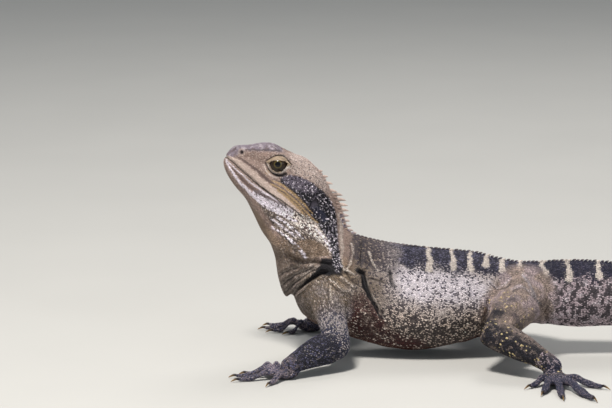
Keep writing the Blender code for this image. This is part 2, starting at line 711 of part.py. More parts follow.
def jaw_block(name, grow):
    """A block under the mouth line, as far back as the jaw's hinge, for parting the lower jaw."""
    top = [(u, float(HEAD_CURVES["mouth"](u)[0]) + grow) for u in (-8.0, 0.0, 6.0, 12.0, 20.0, 30.0, 40.0)]
    outline = top + [(u + grow, h + grow) for u, h in JAW_HINGE] + [(-8.0, -48.0)]
    rings = [[list(head_place(u, side, h)) for u, h in outline] for side in (-40.0, 40.0)]
    return loft(name, rings)


def make_lid(sign):
    """The ring of the two eyelids, draped over the eyeball."""
    bm = bmesh.new()
    around, thick = 18, 6
    for i in range(around):
        a = 2 * math.pi * i / around
        for j in range(thick):
            b = 2 * math.pi * j / thick
            r = 1.0 + LID_THICK * math.cos(b) / LID_RADII[1]
            u, h = LID_RADII[0] * r * math.cos(a), LID_RADII[1] * r * math.sin(a)
            off = min(math.hypot(u, h), EYE_RADIUS * 0.99)
            side = max(EYE_SIDE + math.sqrt((EYE_RADIUS + 0.4) ** 2 - off**2), LID_SIDE)
            side += LID_THICK * 0.8 * math.sin(b)
            bm.verts.new(head_place(EYE[0] + u, sign * side, EYE[1] + h))
    bm.verts.ensure_lookup_table()
    for i in range(around):
        for j in range(thick):
            k, m = (i + 1) % around, (j + 1) % thick
            corners = (i * thick + j, k * thick + j, k * thick + m, i * thick + m)
            bm.faces.new([bm.verts[p] for p in corners])
    return new_object("lid", bm)


def make_eye(name, sign):
    return primitive(
        name, bmesh.ops.create_uvsphere, u_segments=14, v_segments=9, radius=EYE_RADIUS,
        turn=Matrix.Rotation(math.pi / 2, 3, "X"), place=head_place(EYE[0], sign * EYE_SIDE, EYE[1]))


def make_throat(cutters):
    """The loose throat skin, a keel in front of the neck."""
    stations = [
        (Vector((ix, 0, iz)), Vector((fx, 0, fz)), Vector((0, 1, 0)), half)
        for fx, fz, ix, iz, half in THROAT
    ]
    throat = loft("throat", pair_rings(stations, 14, power=1.8))
    return cut(throat, cutters)


def make_limb(side, upper, lower, paw_name, claw_name, joints, profiles, feet, cutters):
    """Two bones and a paw, each cut back by what it grows from."""
    start, bend, end = (mirrored(p, side) for p in joints)
    first = limb_bone(f"{upper}_{side}", start, bend, profiles[0], 14, 6, bow=1.0)
    cut(first, cutters)
    second = limb_bone(f"{lower}_{side}", bend, end, profiles[1], 12, 6, bow=1.2)
    cut(second, [grown(first)])
    heading, digits, pad, pad_ahead, claw_length = feet
    third, claws = paw(
        f"{paw_name}_{side}", end, heading, side, digits, pad, pad_ahead, claw_length,
        f"{claw_name}_{side}", second)
    return [first, second, third] + claws


def material(name, colour, roughness, nodes):
    """A plain finish for a group of nodes."""
    made = bpy.data.materials.new(name)
    made.use_nodes = True
    shader = made.node_tree.nodes["Principled BSDF"]
    shader.inputs["Base Color"].default_value = (*colour, 1.0)
    shader.inputs["Roughness"].default_value = roughness
    shader.inputs["Metallic"].default_value = 0.0
    for node in nodes:
        node.data.materials.clear()
        node.data.materials.append(made)


def main():
    head, jaw, whole_head = make_head()
    eyes = [make_eye("eye_left", 1.0), make_eye("eye_right", -1.0)]
    half = GAP / 2
    neck = body_length("neck", 4.0, NECK_END - half, 9, 22)
    torso = body_length("torso", NECK_END + half, TORSO_END - half, 19, 22)
    cut(neck, [whole_head])
    cut(torso, [whole_head])
    cuts = (TORSO_END,) + TAIL_CUTS + (BODY_LENGTH,)
    shapes = ((9, 18), (10, 14), (10, 12), (11, 10), (12, 8))
    tail = []
    for number, (start, end, (rings, sides)) in enumerate(zip(cuts, cuts[1:], shapes), 1):
        last = 0.0 if number == len(shapes) else half
        tail.append(body_length(f"tail_{number}", start + half, end - last, rings, sides))
    throat = make_throat([whole_head, grown(neck), grown(torso)])
    plain_trunk = [grown(loft(name, body_rings(np.linspace(a, b, n), 22))) for name, a, b, n in (
        ("neck_core", 4.0, NECK_END + 2.0, 9), ("torso_core", NECK_END - 2.0, TORSO_END + 10.0, 20),
        ("tail_core", TORSO_END, TAIL_CUTS[0], 9))]
    skin = [head, jaw, neck, torso, throat] + tail
    claws = []
    hands = {
        "left": (LEFT_ELBOW, LEFT_WRIST, LEFT_HAND_HEADING),
        "right": (RIGHT_ELBOW, RIGHT_WRIST, RIGHT_HAND_HEADING),
    }
    feet = {
        "left": (LEFT_KNEE, LEFT_ANKLE, LEFT_FOOT_HEADING),
        "right": (RIGHT_KNEE, RIGHT_ANKLE, RIGHT_FOOT_HEADING),
    }
    for side in ("left", "right"):
        elbow, wrist, heading = hands[side]
        arm = make_limb(
            side, "upper_arm", "forearm", "hand", "finger_claw", (SHOULDER, elbow, wrist),
            (UPPER_ARM, FOREARM), (heading, FINGERS, PALM, PALM_AHEAD, CLAW_LENGTH[0]),
            plain_trunk[:2] + [whole_head])
        knee, ankle, heading = feet[side]
        leg = make_limb(
            side, "thigh", "shank", "foot", "toe_claw", (HIP, knee, ankle),
            (THIGH, SHANK), (heading, TOES, SOLE, SOLE_AHEAD, CLAW_LENGTH[1]),
            plain_trunk[1:])
        skin += arm[:3] + leg[:3]
        claws += arm[3:] + leg[3:]
    material("grey_brown_scaled_skin", (0.30, 0.26, 0.21), 0.75, skin)
    material("dark_horn", (0.10, 0.08, 0.06), 0.4, claws)
    material("wet_eye", (0.12, 0.08, 0.03), 0.1, eyes)
    show(skin + claws + eyes)


def show(nodes):
    """Moves the finished nodes to their own collection and removes all helpers."""
    dragon = bpy.data.collections.new("water_dragon")
    bpy.context.scene.collection.children.link(dragon)
    for node in nodes:
        dragon.objects.link(node)
        WORK.objects.unlink(node)
        node.data.shade_smooth()
        node.data.set_sharp_from_angle(angle=math.radians(50.0))
    for helper in list(WORK.objects):
        bpy.data.objects.remove(helper)
    bpy.data.collections.remove(WORK)


for left_over in list(bpy.data.objects):
    bpy.data.objects.remove(left_over)
WORK = bpy.data.collections.new("work")
bpy.context.scene.collection.children.link(WORK)
CUTTERS = []
main()
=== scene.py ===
"""Looks of a life-size eastern water dragon, standing on a plain floor.

The shape is drawn in millimetres, head to -X and left side to -Y, with the sizes of the solids, and is moved
to the frame's place and made metres last. One skin covers the whole body. Small scales stand on it in rows
along each part, and one function colours them and the skin, so their markings agree. The same function paints
light and shade: shade in folds, creases, the nostrils and under the jowls, highlights on ridges and folds,
and on every scale a highlight on its keel with shade round its edge and on the skin between.
"""

import math
from itertools import product

import bmesh
import bpy
import numpy as np
from mathutils import Matrix, Vector
from mathutils.bvhtree import BVHTree
from mathutils.kdtree import KDTree
from mathutils.noise import noise


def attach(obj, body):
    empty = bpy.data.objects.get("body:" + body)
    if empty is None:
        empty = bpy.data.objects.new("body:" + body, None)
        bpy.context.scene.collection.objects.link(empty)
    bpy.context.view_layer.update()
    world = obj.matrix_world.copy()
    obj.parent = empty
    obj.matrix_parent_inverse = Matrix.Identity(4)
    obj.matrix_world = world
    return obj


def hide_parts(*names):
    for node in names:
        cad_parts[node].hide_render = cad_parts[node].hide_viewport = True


bl_info = {
    "name": "Eastern Water Dragon",
    "version": (1, 0, 0),
    "blender": (4, 5, 0),
    "location": "View3D > Sidebar > Dragon",
    "description": "Makes the skin, scales, crest, eyes and claws of a life-size water dragon",
    "category": "Object",
}

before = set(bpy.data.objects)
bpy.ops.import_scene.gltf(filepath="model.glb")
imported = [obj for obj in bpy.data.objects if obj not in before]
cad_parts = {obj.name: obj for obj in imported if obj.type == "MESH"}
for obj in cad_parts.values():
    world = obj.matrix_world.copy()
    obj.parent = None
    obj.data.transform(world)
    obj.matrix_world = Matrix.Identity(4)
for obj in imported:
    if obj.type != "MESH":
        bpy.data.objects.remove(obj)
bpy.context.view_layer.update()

MM = 0.001  # metres
ORIGIN = np.array((297.9, -7.2, 0.0))  # the drawing's point that lies at the frame's origin

# The drawing's sizes, as the solids have them, in millimetres.

# Back point x and z, belly point x and z, and half width, from the nape to the vent.
TRUNK = (
    (3, 125, -30, 103, 13.5),
    (11.6, 119, -26, 92, 15),
    (16.5, 109.8, -21, 82, 16.5),
    (20.5, 99.8, -16.5, 71, 17.5),
    (23.3, 91, -12.5, 60, 19),
    (26, 84, -10.5, 49.5, 21),
    (30.5, 80.8, -8.5, 40, 24),
    (37.5, 78.4, -4, 29, 26.5),
    (47, 76, 8, 19.5, 28),
    (58, 73.9, 30, 11.6, 29.5),
    (70, 72.2, 52, 5.2, 31.5),
    (84, 70.6, 76, 3.2, 32.5),
    (99, 69.2, 96, 6.6, 31),
    (114, 67.4, 114, 11, 28),
    (127, 63.8, 128, 15.5, 25),
    (139, 61.6, 141, 19.5, 22.5),
    (153, 61.4, 155, 20.5, 20),
    (168, 62.2, 169, 18.6, 17.5),
    (184, 62.2, 185, 18, 16),
    (201, 61, 202, 18.6, 14.8),
)
WIDEST = 0.46
BACK_POWER = 1.75
BELLY_POWER = 2.25
# Distance from the vent, depth, height of the underside, half width next to depth, and heading.
TAIL = (
    (0, 42.4, 18.6, 0.35, 0),
    (24, 39.5, 16, 0.35, 2),
    (50, 35.5, 11, 0.36, 8),
    (80, 30.5, 5.5, 0.37, 18),
    (110, 26, 1.6, 0.38, 26),
    (145, 21, 0, 0.39, 28),
    (190, 16.6, 0, 0.40, 20),
    (240, 13, 0, 0.42, 4),
    (290, 10.2, 0, 0.44, -12),
    (340, 7.8, 0, 0.46, -22),
    (390, 5.8, 0, 0.48, -24),
    (435, 3.9, 0, 0.50, -18),
    (472, 2, 0, 0.50, -10),
)
TAIL_LENGTH = TAIL[-1][0]
SNOUT = Vector((-54.5, 0.0, 129.5))
HEAD_PITCH = math.radians(28.0)
HEAD_YAW = math.radians(-4.0)
HEAD_PIVOT = Vector((4.0, 0.0, 100.0))
# The head's own axes: u back from the snout's tip, then the height or the half width there.
HEAD_LENGTH = 84.0
HEAD_TOP = (
    (0, 7.2), (1.2, 10.6), (4, 13.3), (9.9, 16.8), (13.6, 19.9), (17.9, 23), (22.8, 25.1),
    (26.7, 25.4), (31, 24.3), (37.5, 24.4), (43.4, 26), (48, 26.4), (55.2, 25), (63.2, 21.6),
    (70, 15.5), (77, 7.5), (84, -3),
)
HEAD_BOTTOM = (
    (0, -1.4), (1.3, -3.2), (4.3, -6.2), (9.4, -9.7), (15.4, -12.7), (20.5, -14.6), (25.2, -16.6),
    (28.8, -18.8), (34, -22.8), (43.6, -29.6), (53.3, -34), (62, -34.5), (72, -28), (84, -17),
)
MOUTH = (
    (0, 2.7), (4.5, 2.6), (11.5, 1.4), (20.5, -0.1), (29.6, -1.8), (42.6, -3.6), (55, -5.8),
    (84, -8.5),
)
BROW = (
    (0, 8), (1.6, 10), (5.5, 12.1), (10.3, 14.4), (15.7, 16.8), (21.8, 19.5), (28.2, 22.2),
    (35, 22.8), (42, 22.6), (50, 21.6), (58, 19.2), (66, 14.2), (75, 6), (84, -5),
)
BROW_WIDTH = (
    (0, 2.2), (1.6, 4), (5.5, 5.6), (10.3, 7.3), (15.7, 9.2), (21.8, 11.4), (28.2, 13.4), (36, 14.4),
    (50, 13.8), (62, 13.6), (72, 11.8), (78, 8.8), (84, 4.5),
)
CHEEK_WIDTH = (
    (0, 2.9), (1.6, 4.8), (5.5, 6.7), (10.3, 8.4), (15.7, 10), (21.8, 11.4), (28.2, 12.4), (36, 13.2),
    (46, 15.8), (58, 17.6), (65, 17.4), (72, 15.2), (78, 11.8), (84, 6.5),
)
LIP_WIDTH = (
    (0, 3.2), (1.6, 5.6), (5.5, 7.9), (10.3, 9.9), (15.7, 11.9), (21.8, 13.8), (28.2, 15.5), (36, 17.2),
    (46, 18.9), (58, 19.9), (65, 19.2), (72, 16.4), (78, 12.6), (84, 7),
)
JAW_WIDTH = (
    (0, 2.4), (1.6, 4.2), (5.5, 6.2), (10.3, 8), (21.8, 11.2), (36, 13.6), (50, 14), (66, 12),
    (84, 6),
)
LIP_GROOVE = 0.8
MOUTH_CORNER = 52.5
# Upper point u and h, lower point u and h, distance from the middle plane, and half width.
JOWL = (
    (46, -6, 48, -27, 11, 3),
    (55, -3, 57, -34, 12, 8),
    (67, -4.5, 68, -35, 13.2, 9.2),
    (78, -9.5, 78, -31.5, 14.2, 7.6),
    (87, -15, 85, -27.5, 15.2, 4.8),
    (93, -19.6, 91.5, -24.8, 16.2, 2.6),
    (96, -22.2, 95.6, -23.8, 16.8, 0.9),
)
# Front edge x and z, hidden inner edge x and z, and half width, from the chin down.
THROAT = (
    (-40, 104, -22, 108, 6),
    (-34.6, 93, -8, 101, 12),
    (-29.6, 82.5, 0, 91, 16),
    (-23.8, 73.6, 4, 80, 17.5),
    (-20.2, 63.6, 5, 70, 17),
    (-19, 53, 4, 60, 15),
    (-17.2, 44.2, 2, 52, 11),
    (-13.4, 37.6, -4, 44.5, 5),
)
EYE = (33.4, 16.4)
EYE_SIDE = 9.3
EYE_RADIUS = 6.6
LID_HALF = 6.6
LID_LEVEL = 1.0
LID_UP = 3.3
LID_DOWN = 6.3
LID_THICK = 1.3
LID_SIDE = 12.9
NOSTRIL = (8.4, 11.2)
EAR = (66.1, 5.6)

# Share of the limb's length, half width and half thickness.
UPPER_ARM = ((0, 11.6, 10.4), (0.35, 10.6, 9.8), (0.7, 9, 8.8), (1, 8.2, 8))
FOREARM = ((0, 8.8, 9), (0.25, 10.2, 10.4), (0.6, 8.8, 8.6), (1, 6.4, 5.5))
THIGH = ((0, 17, 15), (0.4, 15.2, 13.4), (0.75, 12, 11.2), (1, 10.2, 9.8))
SHANK = ((0, 10, 9.6), (0.3, 10.4, 9.6), (0.7, 7.6, 7.2), (1, 6.2, 5.6))
SHOULDER = (11, 18, 47)
HIP = (143, 14, 40)
# First joint, second joint and wrist or ankle, and the heading of the hand or foot in degrees.
JOINTS = {
    ("arm", "left"): (SHOULDER, (21, 50, 16.5), (-10, 75, 8.6), 180),
    ("arm", "right"): (SHOULDER, (36, 46, 18), (6.5, 67, 8.6), 174),
    ("leg", "left"): (HIP, (122, 59, 25), (158, 84, 10), -83),
    ("leg", "right"): (HIP, (112, 52, 27), (132, 84, 10), 150),
}
# Root ahead of the wrist and to its thumb's side, heading in degrees, length, radius and arch.
FINGERS = (
    (6, 5.6, 36, 14, 2, 4.4),
    (9.5, 3.4, 16, 20, 2.05, 4.8),
    (10.5, 0.4, 1, 24.5, 2.1, 3.2),
    (9.5, -2.8, -17, 25, 2.15, 1.4),
    (5, -5.6, -62, 18, 2.2, 1.2),
)
TOES = (
    (8, 6.5, 52, 15, 2.4, 1.6),
    (15, 4.8, 24, 22, 2.6, 1.8),
    (17.5, 1.2, 5, 31, 2.7, 2),
    (16.5, -3, -16, 40, 2.8, 2),
    (8, -6.5, -50, 26, 2.5, 1.8),
)
PALM = (9, 7.6, 3.6)
PALM_AHEAD = 3.5
SOLE = (14, 8.2, 4.2)
SOLE_AHEAD = 6.5
CLAW_LENGTH = {"arm": 5, "leg": 6}
CLAW_RADIUS = 1.0
CLAW_ROOT = 0.8

# Place along the head and height of each spine on its top.
HEAD_SPINES = ((59.5, 2.2), (63.2, 3.4), (66.8, 4.8), (70.4, 6.2))
HEAD_LEAN = math.radians(12.0)
NAPE_SPINES = (7.6, 8.5, 8.6, 7.8, 6.9, 6.2, 5.6, 4.6, 3.4)
NAPE_PITCH = 3.75
NAPE_START = 24.4
NAPE_LEAN = math.radians(26.0)
BACK_SPINE = 2.2
BACK_PITCH = 4.4
BACK_LEAN = math.radians(48.0)
TAIL_SPINE = 1.9
TAIL_PITCH = 6.0


def linear(text):
    """An sRGB hex colour as the three linear numbers that a shader takes."""
    parts = [int(text[i:i + 2], 16) / 255 for i in (1, 3, 5)]
    return tuple(c / 12.92 if c <= 0.04045 else ((c + 0.055) / 1.055) ** 2.4 for c in parts)


def colour(name, text, description):
    """A colour that a user can change, given as its sRGB hex value."""
    return bpy.props.FloatVectorProperty(
        name=name, description=description, default=linear(text), subtype="COLOR", size=3, min=0, max=1)


def spacing(what, millimetres):
    """A spacing that a user can change, given in millimetres and kept in metres."""
    return bpy.props.FloatProperty(
        name=what.capitalize(), description=f"Spacing of the {what}", default=millimetres * MM, min=0,
        unit="LENGTH", precision=5)


class DragonSizes(bpy.types.PropertyGroup):
    """Sizes of the skin's and the scales' detail."""

    skin_voxel: spacing("points of the skin", 0.8)
    head_scale: spacing("scales on the head", 0.9)
    jowl_scale: spacing("scales on the jowls", 1.2)
    throat_scale: spacing("scales on the throat", 0.92)
    trunk_scale: spacing("scales on the trunk", 1.1)
    tail_scale: spacing("scales on the tail", 1.4)
    limb_scale: spacing("scales on the limbs", 1.2)
    digit_scale: spacing("scales on the fingers and toes", 0.88)


class DragonColours(bpy.types.PropertyGroup):
    """Colours of the markings."""

    crown: colour("Crown", "#786F7D", "Mauve grey on top of the head")
    tan: colour("Tan", "#8F7A71", "Side of the snout, brow and nape")
    lip: colour("Lip", "#BBA89E", "Pale band along the upper lip")
    # the mouth line's colour also paints shade under the brow and beside the shoulder's ridges
    mouth: colour("Mouth line", "#352E34", "Dark line of the mouth")
    canthus: colour("Canthus", "#544340", "Brown streak from the nostril to the cheek")
    # the black also paints shade in folds, creases, the slit, the nostrils, the lids' creases and under the
    # jowl
    black_and_shade: colour("Stripe", "#101017", "Black band from the eye to the shoulder")
    fleck: colour("Fleck", "#D2CAD3", "White spiny scales in the black band")
    # the ochre also paints a highlight on the shoulder
    ochre_and_highlight: colour("Ochre", "#9F8561", "Yellow rows under the black band")
    jowl: colour("Jowl", "#D2C6BF", "Cream of the jowls' scales")
    jowl_grey: colour("Jowl grey", "#6E6764", "Grey among the jowls' scales")
    throat: colour("Throat", "#816D5C", "Warm tan of the throat")
    throat_grey: colour("Throat grey", "#6A5E56", "Grey of the lower throat")
    shoulder: colour("Shoulder", "#716356", "Grey brown of the shoulder")
    back: colour("Back", "#15152B", "Blue black along the back")
    dusk: colour("Dusk", "#5C5A72", "Blue grey grains of the back")
    cream_and_highlight: colour("Bar", "#C6BBB2", "Cream bars across the back and tail")
    # the cream also paints highlights on ridges and on the rims of folds
    flank: colour("Flank", "#A99F9D", "Pale grey of the flank")
    # the white also paints highlights beside the hip's folds
    white: colour("White flank", "#C6BEC3", "Palest part of the flank")
    # the speck colour also paints shade in the hip's folds
    speck_and_shade: colour("Speck", "#2F2935", "Dark specks of the flank")
    salt: colour("Salt", "#B9A89C", "Pale grains of the lower flank")
    umber: colour("Umber", "#231C20", "Dark brown of the lower flank")
    belly: colour("Belly", "#452518", "Orange tan of the belly's edge")
    chest: colour("Chest", "#421C1C", "Red brown behind the arm")
    limb: colour("Limb", "#343548", "Blue grey of the arms, hands and feet")
    # the limbs' dark also paints shade over the forearm
    limb_dark_and_shade: colour("Limb dark", "#1E1C24", "Blackish olive of the hind leg")
    spot: colour("Spot", "#AD9C74", "Yellow spots of the legs")
    # the hip's tan also paints a highlight along the top of the shank
    hip_tan_and_highlight: colour("Hip", "#94837A", "Brown tan of the hip")
    tail: colour("Tail", "#A8989D", "Grey tan of the tail")
    tail_dark: colour("Tail dark", "#121119", "Black mottling of the tail")
    lid: colour("Eyelid", "#A8947F", "Cream ring of the eyelids")
    iris: colour("Iris", "#261B12", "Golden brown of the iris")
    claw: colour("Claw", "#6E5632", "Amber brown horn of the claws")
    floor: colour("Floor", "#B4B3AF", "Pale floor of the studio")


# Curves and lofts


def smooth_curve(keys):
    """A smooth function through keys of (place, value or values); it holds its ends beyond them."""
    table = np.array(keys, float)
    place, value = table[:, 0], table[:, 1:]
    gap = np.diff(place)[:, None]
    slope = np.diff(value, axis=0) / gap
    tangent = np.zeros_like(value)
    tangent[1:-1] = (slope[:-1] * gap[1:] + slope[1:] * gap[:-1]) / (gap[1:] + gap[:-1])
    tangent[0], tangent[-1] = slope[0], slope[-1]

    def at(where):
        where = np.clip(np.atleast_1d(np.asarray(where, float)), place[0], place[-1])
        i = np.clip(np.searchsorted(place, where, side="right") - 1, 0, len(place) - 2)
        span = (place[i + 1] - place[i])[:, None]
        t = (where - place[i])[:, None] / span
        found = (
            (2 * t**3 - 3 * t**2 + 1) * value[i]
            + (t**3 - 2 * t**2 + t) * span * tangent[i]
            + (3 * t**2 - 2 * t**3) * value[i + 1]
            + (t**3 - t**2) * span * tangent[i + 1]
        )
        return found[:, 0] if found.shape[1] == 1 else found

    return at


def turns(count):
    """Angles spread evenly round a whole turn."""
    return np.linspace(0, 2 * math.pi, count, endpoint=False)


def unit(vectors):
    """The same directions with a length of 1."""
    return vectors / np.maximum(np.linalg.norm(vectors, axis=1), 1e-9)[:, None]


def run_along(points):
    """How far each point of a row lies along it."""
    return np.concatenate([[0], np.cumsum(np.linalg.norm(np.diff(points, axis=0), axis=1))])


def tail_stations():
    """The sections of the tail, as back line, belly line and half width, along its turning path."""
    shape = smooth_curve(TAIL)
    x, y, z = TRUNK[-1][2], 0, 0
    rows, gap, done = [], 2, 0
    for place in [row[0] for row in TAIL[1:]]:
        while done < place - 1e-6:
            turn = math.radians(shape(done + gap / 2)[0][3])
            x += gap * math.cos(turn)
            y += gap * math.sin(turn)
            done += gap
        depth, z, flat, _ = shape(place)[0]
        rows.append((x, y, z + depth, x, y, z, depth * flat))
    return rows


def body_curves():
    """Back line, belly line and half width as one function of the distance along the body's middle."""
    rows = [(dx, 0, dz, vx, 0, vz, w) for dx, dz, vx, vz, w in TRUNK] + tail_stations()
    table = np.array(rows, float)
    middle = (table[:, 0:3] + table[:, 3:6]) / 2
    along = run_along(middle)
    return smooth_curve(np.column_stack([along, table])), along[-1]


BODY, BODY_LENGTH = body_curves()
TRUNK_LENGTH = BODY_LENGTH - TAIL_LENGTH


def body_frames(places):
    """For each place along the body: its middle, up and side directions, heights and half width."""
    found = BODY(places)
    back, belly, width = found[:, 0:3], found[:, 3:6], found[:, 6]
    depth = np.linalg.norm(back - belly, axis=1)
    up = (back - belly) / depth[:, None]
    middle = belly + WIDEST * (back - belly)
    ahead, behind = BODY(np.asarray(places) + 1), BODY(np.asarray(places) - 1)
    along = (ahead[:, 0:3] + ahead[:, 3:6]) - (behind[:, 0:3] + behind[:, 3:6])
    side = unit(np.cross(up, along))
    return middle, up, side, depth * (1 - WIDEST), depth * WIDEST, width


def body_rings(places, sides):
    """Closed sections of the body, each as points round from the back over the left side."""
    middle, up, side, above, below, width = body_frames(places)
    turn = turns(sides)
    c, s = np.cos(turn), np.sin(turn)
    power = np.where(c > 0, BACK_POWER, BELLY_POWER)
    high = np.sign(c) * np.abs(c) ** (2 / power)
    wide = np.sign(s) * np.abs(s) ** (2 / power)
    tall = np.where(c > 0, above[:, None], below[:, None])
    rings = (
        middle[:, None, :]
        + up[:, None, :] * (high * tall)[:, :, None]
        - side[:, None, :] * (wide * width[:, None])[:, :, None]
    )
    rings[:, :, 2] = np.maximum(rings[:, :, 2], 0)
    return rings


HEAD_TURN = Matrix.Rotation(HEAD_YAW, 3, "Z")
HEAD_BACK = Vector((math.cos(HEAD_PITCH), 0.0, -math.sin(HEAD_PITCH)))
HEAD_UP = Vector((math.sin(HEAD_PITCH), 0.0, math.cos(HEAD_PITCH)))


def head_place(u, side, h):
    """A point given in head axes, side being positive to the animal's left."""
    point = SNOUT + HEAD_BACK * u + HEAD_UP * h + Vector((0, -side, 0))
    return HEAD_PIVOT + HEAD_TURN @ (point - HEAD_PIVOT)


def head_axes(points):
    """Each point in head axes: back along the head, towards the left side, and up across it."""
    turn = np.array(HEAD_TURN)
    local = (points - np.array(HEAD_PIVOT)) @ turn + np.array(HEAD_PIVOT) - np.array(SNOUT)
    return local @ np.array(HEAD_BACK), -local[:, 1], local @ np.array(HEAD_UP)


HEAD_CURVES = {
    name: smooth_curve(keys)
    for name, keys in (
        ("top", HEAD_TOP), ("bottom", HEAD_BOTTOM), ("mouth", MOUTH), ("brow", BROW),
        ("brow_width", BROW_WIDTH), ("cheek_width", CHEEK_WIDTH), ("lip_width", LIP_WIDTH),
        ("jaw_width", JAW_WIDTH),
    )
}


def head_half_section(u):
    """The left half of the head's outline at u, from the crown to the chin, as (side, h) points."""
    top, bottom, mouth, brow, brow_w, cheek_w, lip_w, jaw_w = (
        float(HEAD_CURVES[name](u)[0]) for name in HEAD_CURVES
    )
    lip = min(3, 0.35 * (brow - mouth))
    chin = min(3.5, 0.4 * (mouth - bottom))
    outline = smooth_curve((
        (0, 0, top),
        (1, 0.55 * brow_w, brow + 0.82 * (top - brow)),
        (2, brow_w, brow),
        (3, cheek_w, mouth + 0.55 * (brow - mouth)),
        (4, lip_w, mouth + lip),
        (5, lip_w - LIP_GROOVE, mouth),
        (6, lip_w - 0.4, mouth - chin),
        (7, 0.5 * (lip_w + jaw_w) + 0.6, mouth + 0.5 * (bottom - mouth)),
        (8, 0.72 * jaw_w, bottom + 0.16 * (mouth - bottom)),
        (9, 0, bottom),
    ))
    return outline(np.linspace(0, 9, 46))


def head_rings(places):
    """Closed sections of the head."""
    rings = []
    for u in places:
        half = head_half_section(u)
        full = [(side, h) for side, h in half] + [(-side, h) for side, h in half[-2:0:-1]]
        rings.append([head_place(u, side, h) for side, h in full])
    return np.array(rings)


def pair_rings(stations, power=2):
    """Rings between two edges: stations of upper point, lower point, out direction and half width."""
    table = smooth_curve([
        (i, *upper, *lower, *out, half) for i, (upper, lower, out, half) in enumerate(stations)
    ])(np.linspace(0, len(stations) - 1, 48))
    upper, lower, out, half = table[:, 0:3], table[:, 3:6], table[:, 6:9], table[:, 9]
    turn = turns(40)
    c = np.sign(np.cos(turn)) * np.abs(np.cos(turn)) ** (2 / power)
    s = np.sign(np.sin(turn)) * np.abs(np.sin(turn)) ** (2 / power)
    middle, reach = (upper + lower) / 2, (upper - lower) / 2
    bulge = out * half[:, None]
    return middle[:, None, :] + reach[:, None, :] * c[None, :, None] + bulge[:, None, :] * s[None, :, None]


def jowl_rings(sign):
    """One jowl, the broad flap of cheek behind the mouth, as sections down it."""
    out = head_place(0, -1, 0) - head_place(0, 0, 0)
    stations = [
        (head_place(ua, sign * mid, ha), head_place(ub, sign * mid, hb), out, half)
        for ua, ha, ub, hb, mid, half in JOWL
    ]
    return pair_rings(stations)


def throat_rings():
    """The pouch of the throat, as sections from the chin to the chest."""
    stations = [((ix, 0, iz), (fx, 0, fz), (0, 1, 0), half) for fx, fz, ix, iz, half in THROAT]
    return pair_rings(stations, power=1.8)


def lid_rings(sign):
    """The ring of the two eyelids, draped over the eyeball, as sections round it."""
    rings = []
    c, s = math.cos(HEAD_PITCH), math.sin(HEAD_PITCH)
    for a in np.linspace(0, 2 * math.pi, 73):
        ring = []
        thin = 1 - 0.3 * abs(math.cos(a)) ** 3
        tall = LID_UP if math.sin(a) > 0 else LID_DOWN
        ex = LID_HALF * math.cos(a)
        ez = LID_LEVEL + tall * math.copysign(abs(math.sin(a)) ** 1.1, math.sin(a))
        out = np.array((math.cos(a) / LID_HALF, math.sin(a) / tall))
        out /= np.linalg.norm(out)
        for b in turns(14):
            x, z = np.array((ex, ez)) + out * thin * LID_THICK * math.cos(b)
            off = min(math.hypot(x, z), EYE_RADIUS * 0.99)
            side = max(EYE_SIDE + math.sqrt((EYE_RADIUS + 0.35) ** 2 - off**2), LID_SIDE - 0.3)
            side += thin * LID_THICK * 0.6 * math.sin(b)
            ring.append(head_place(EYE[0] + x * c - z * s, sign * side, EYE[1] + x * s + z * c))
        rings.append(ring)
    return np.array(rings)


def mirrored(point, side):
    """The point on its own side; the left side lies towards -Y."""
    return np.array((point[0], -point[1] if side == "left" else point[1], point[2]), float)


def bone_rings(start, end, profile, bow):
    """A limb from joint to joint with round ends, bulging as its profile says."""
    start, end = Vector(start), Vector(end)
    along = (end - start).normalized()
    reach = (end - start).length
    out = along.cross(Vector((0, 0, 1))).normalized()
    across = out.cross(along)
    shape = smooth_curve(profile)
    first, last = shape(0)[0][0] * 0.85, shape(1)[0][0] * 0.85
    runs = [-first * k for k in (0.995, 0.95, 0.85, 0.7, 0.5, 0.25)]
    runs += [reach * k for k in np.linspace(0, 1, 36)]
    runs += [reach + last * k for k in (0.25, 0.5, 0.7, 0.85, 0.95, 0.995)]
    rings = []
    for run in runs:
        share = min(max(run / reach, 0), 1)
        wide, thick = shape(share)[0]
        beyond = max(-run / first, (run - reach) / last, 0)
        fade = math.sqrt(1 - beyond**2)
        middle = start + along * run + across * (bow * math.sin(math.pi * share))
        rings.append([
            middle + out * (math.cos(a) * wide * fade) + across * (math.sin(a) * thick * fade)
            for a in turns(32)
        ])
    return np.array(rings)


def limb_bones(limb, side):
    """The rings of a limb's upper and lower length."""
    start, bend, end = (mirrored(joint, side) for joint in JOINTS[limb, side][:3])
    upper, lower = (UPPER_ARM, FOREARM) if limb == "arm" else (THIGH, SHANK)
    return bone_rings(start, bend, upper, 1), bone_rings(bend, end, lower, 1.2)


def digit_plan(limb, side):
    """Root, heading, length, radius and arch of each finger or toe."""
    _, _, end, heading_deg = JOINTS[limb, side]
    sign = -1 if side == "left" else 1
    heading = math.radians(heading_deg)
    ahead = np.array((math.cos(heading), math.sin(heading), 0))
    thumbward = np.array((-ahead[1], ahead[0], 0)) * sign
    ground = mirrored(end, side) * (1, 1, 0)
    plan = []
    for forward, aside, angle, reach, radius, arch in (FINGERS if limb == "arm" else TOES):
        root = ground + ahead * forward + thumbward * aside
        plan.append((root, heading + math.radians(angle) * sign, reach, radius, arch))
    return plan


DIGIT_DRAWN = 2.4  # the radius of the digit that the heights below are drawn for
DIGIT_END = 1.75  # the height of its end


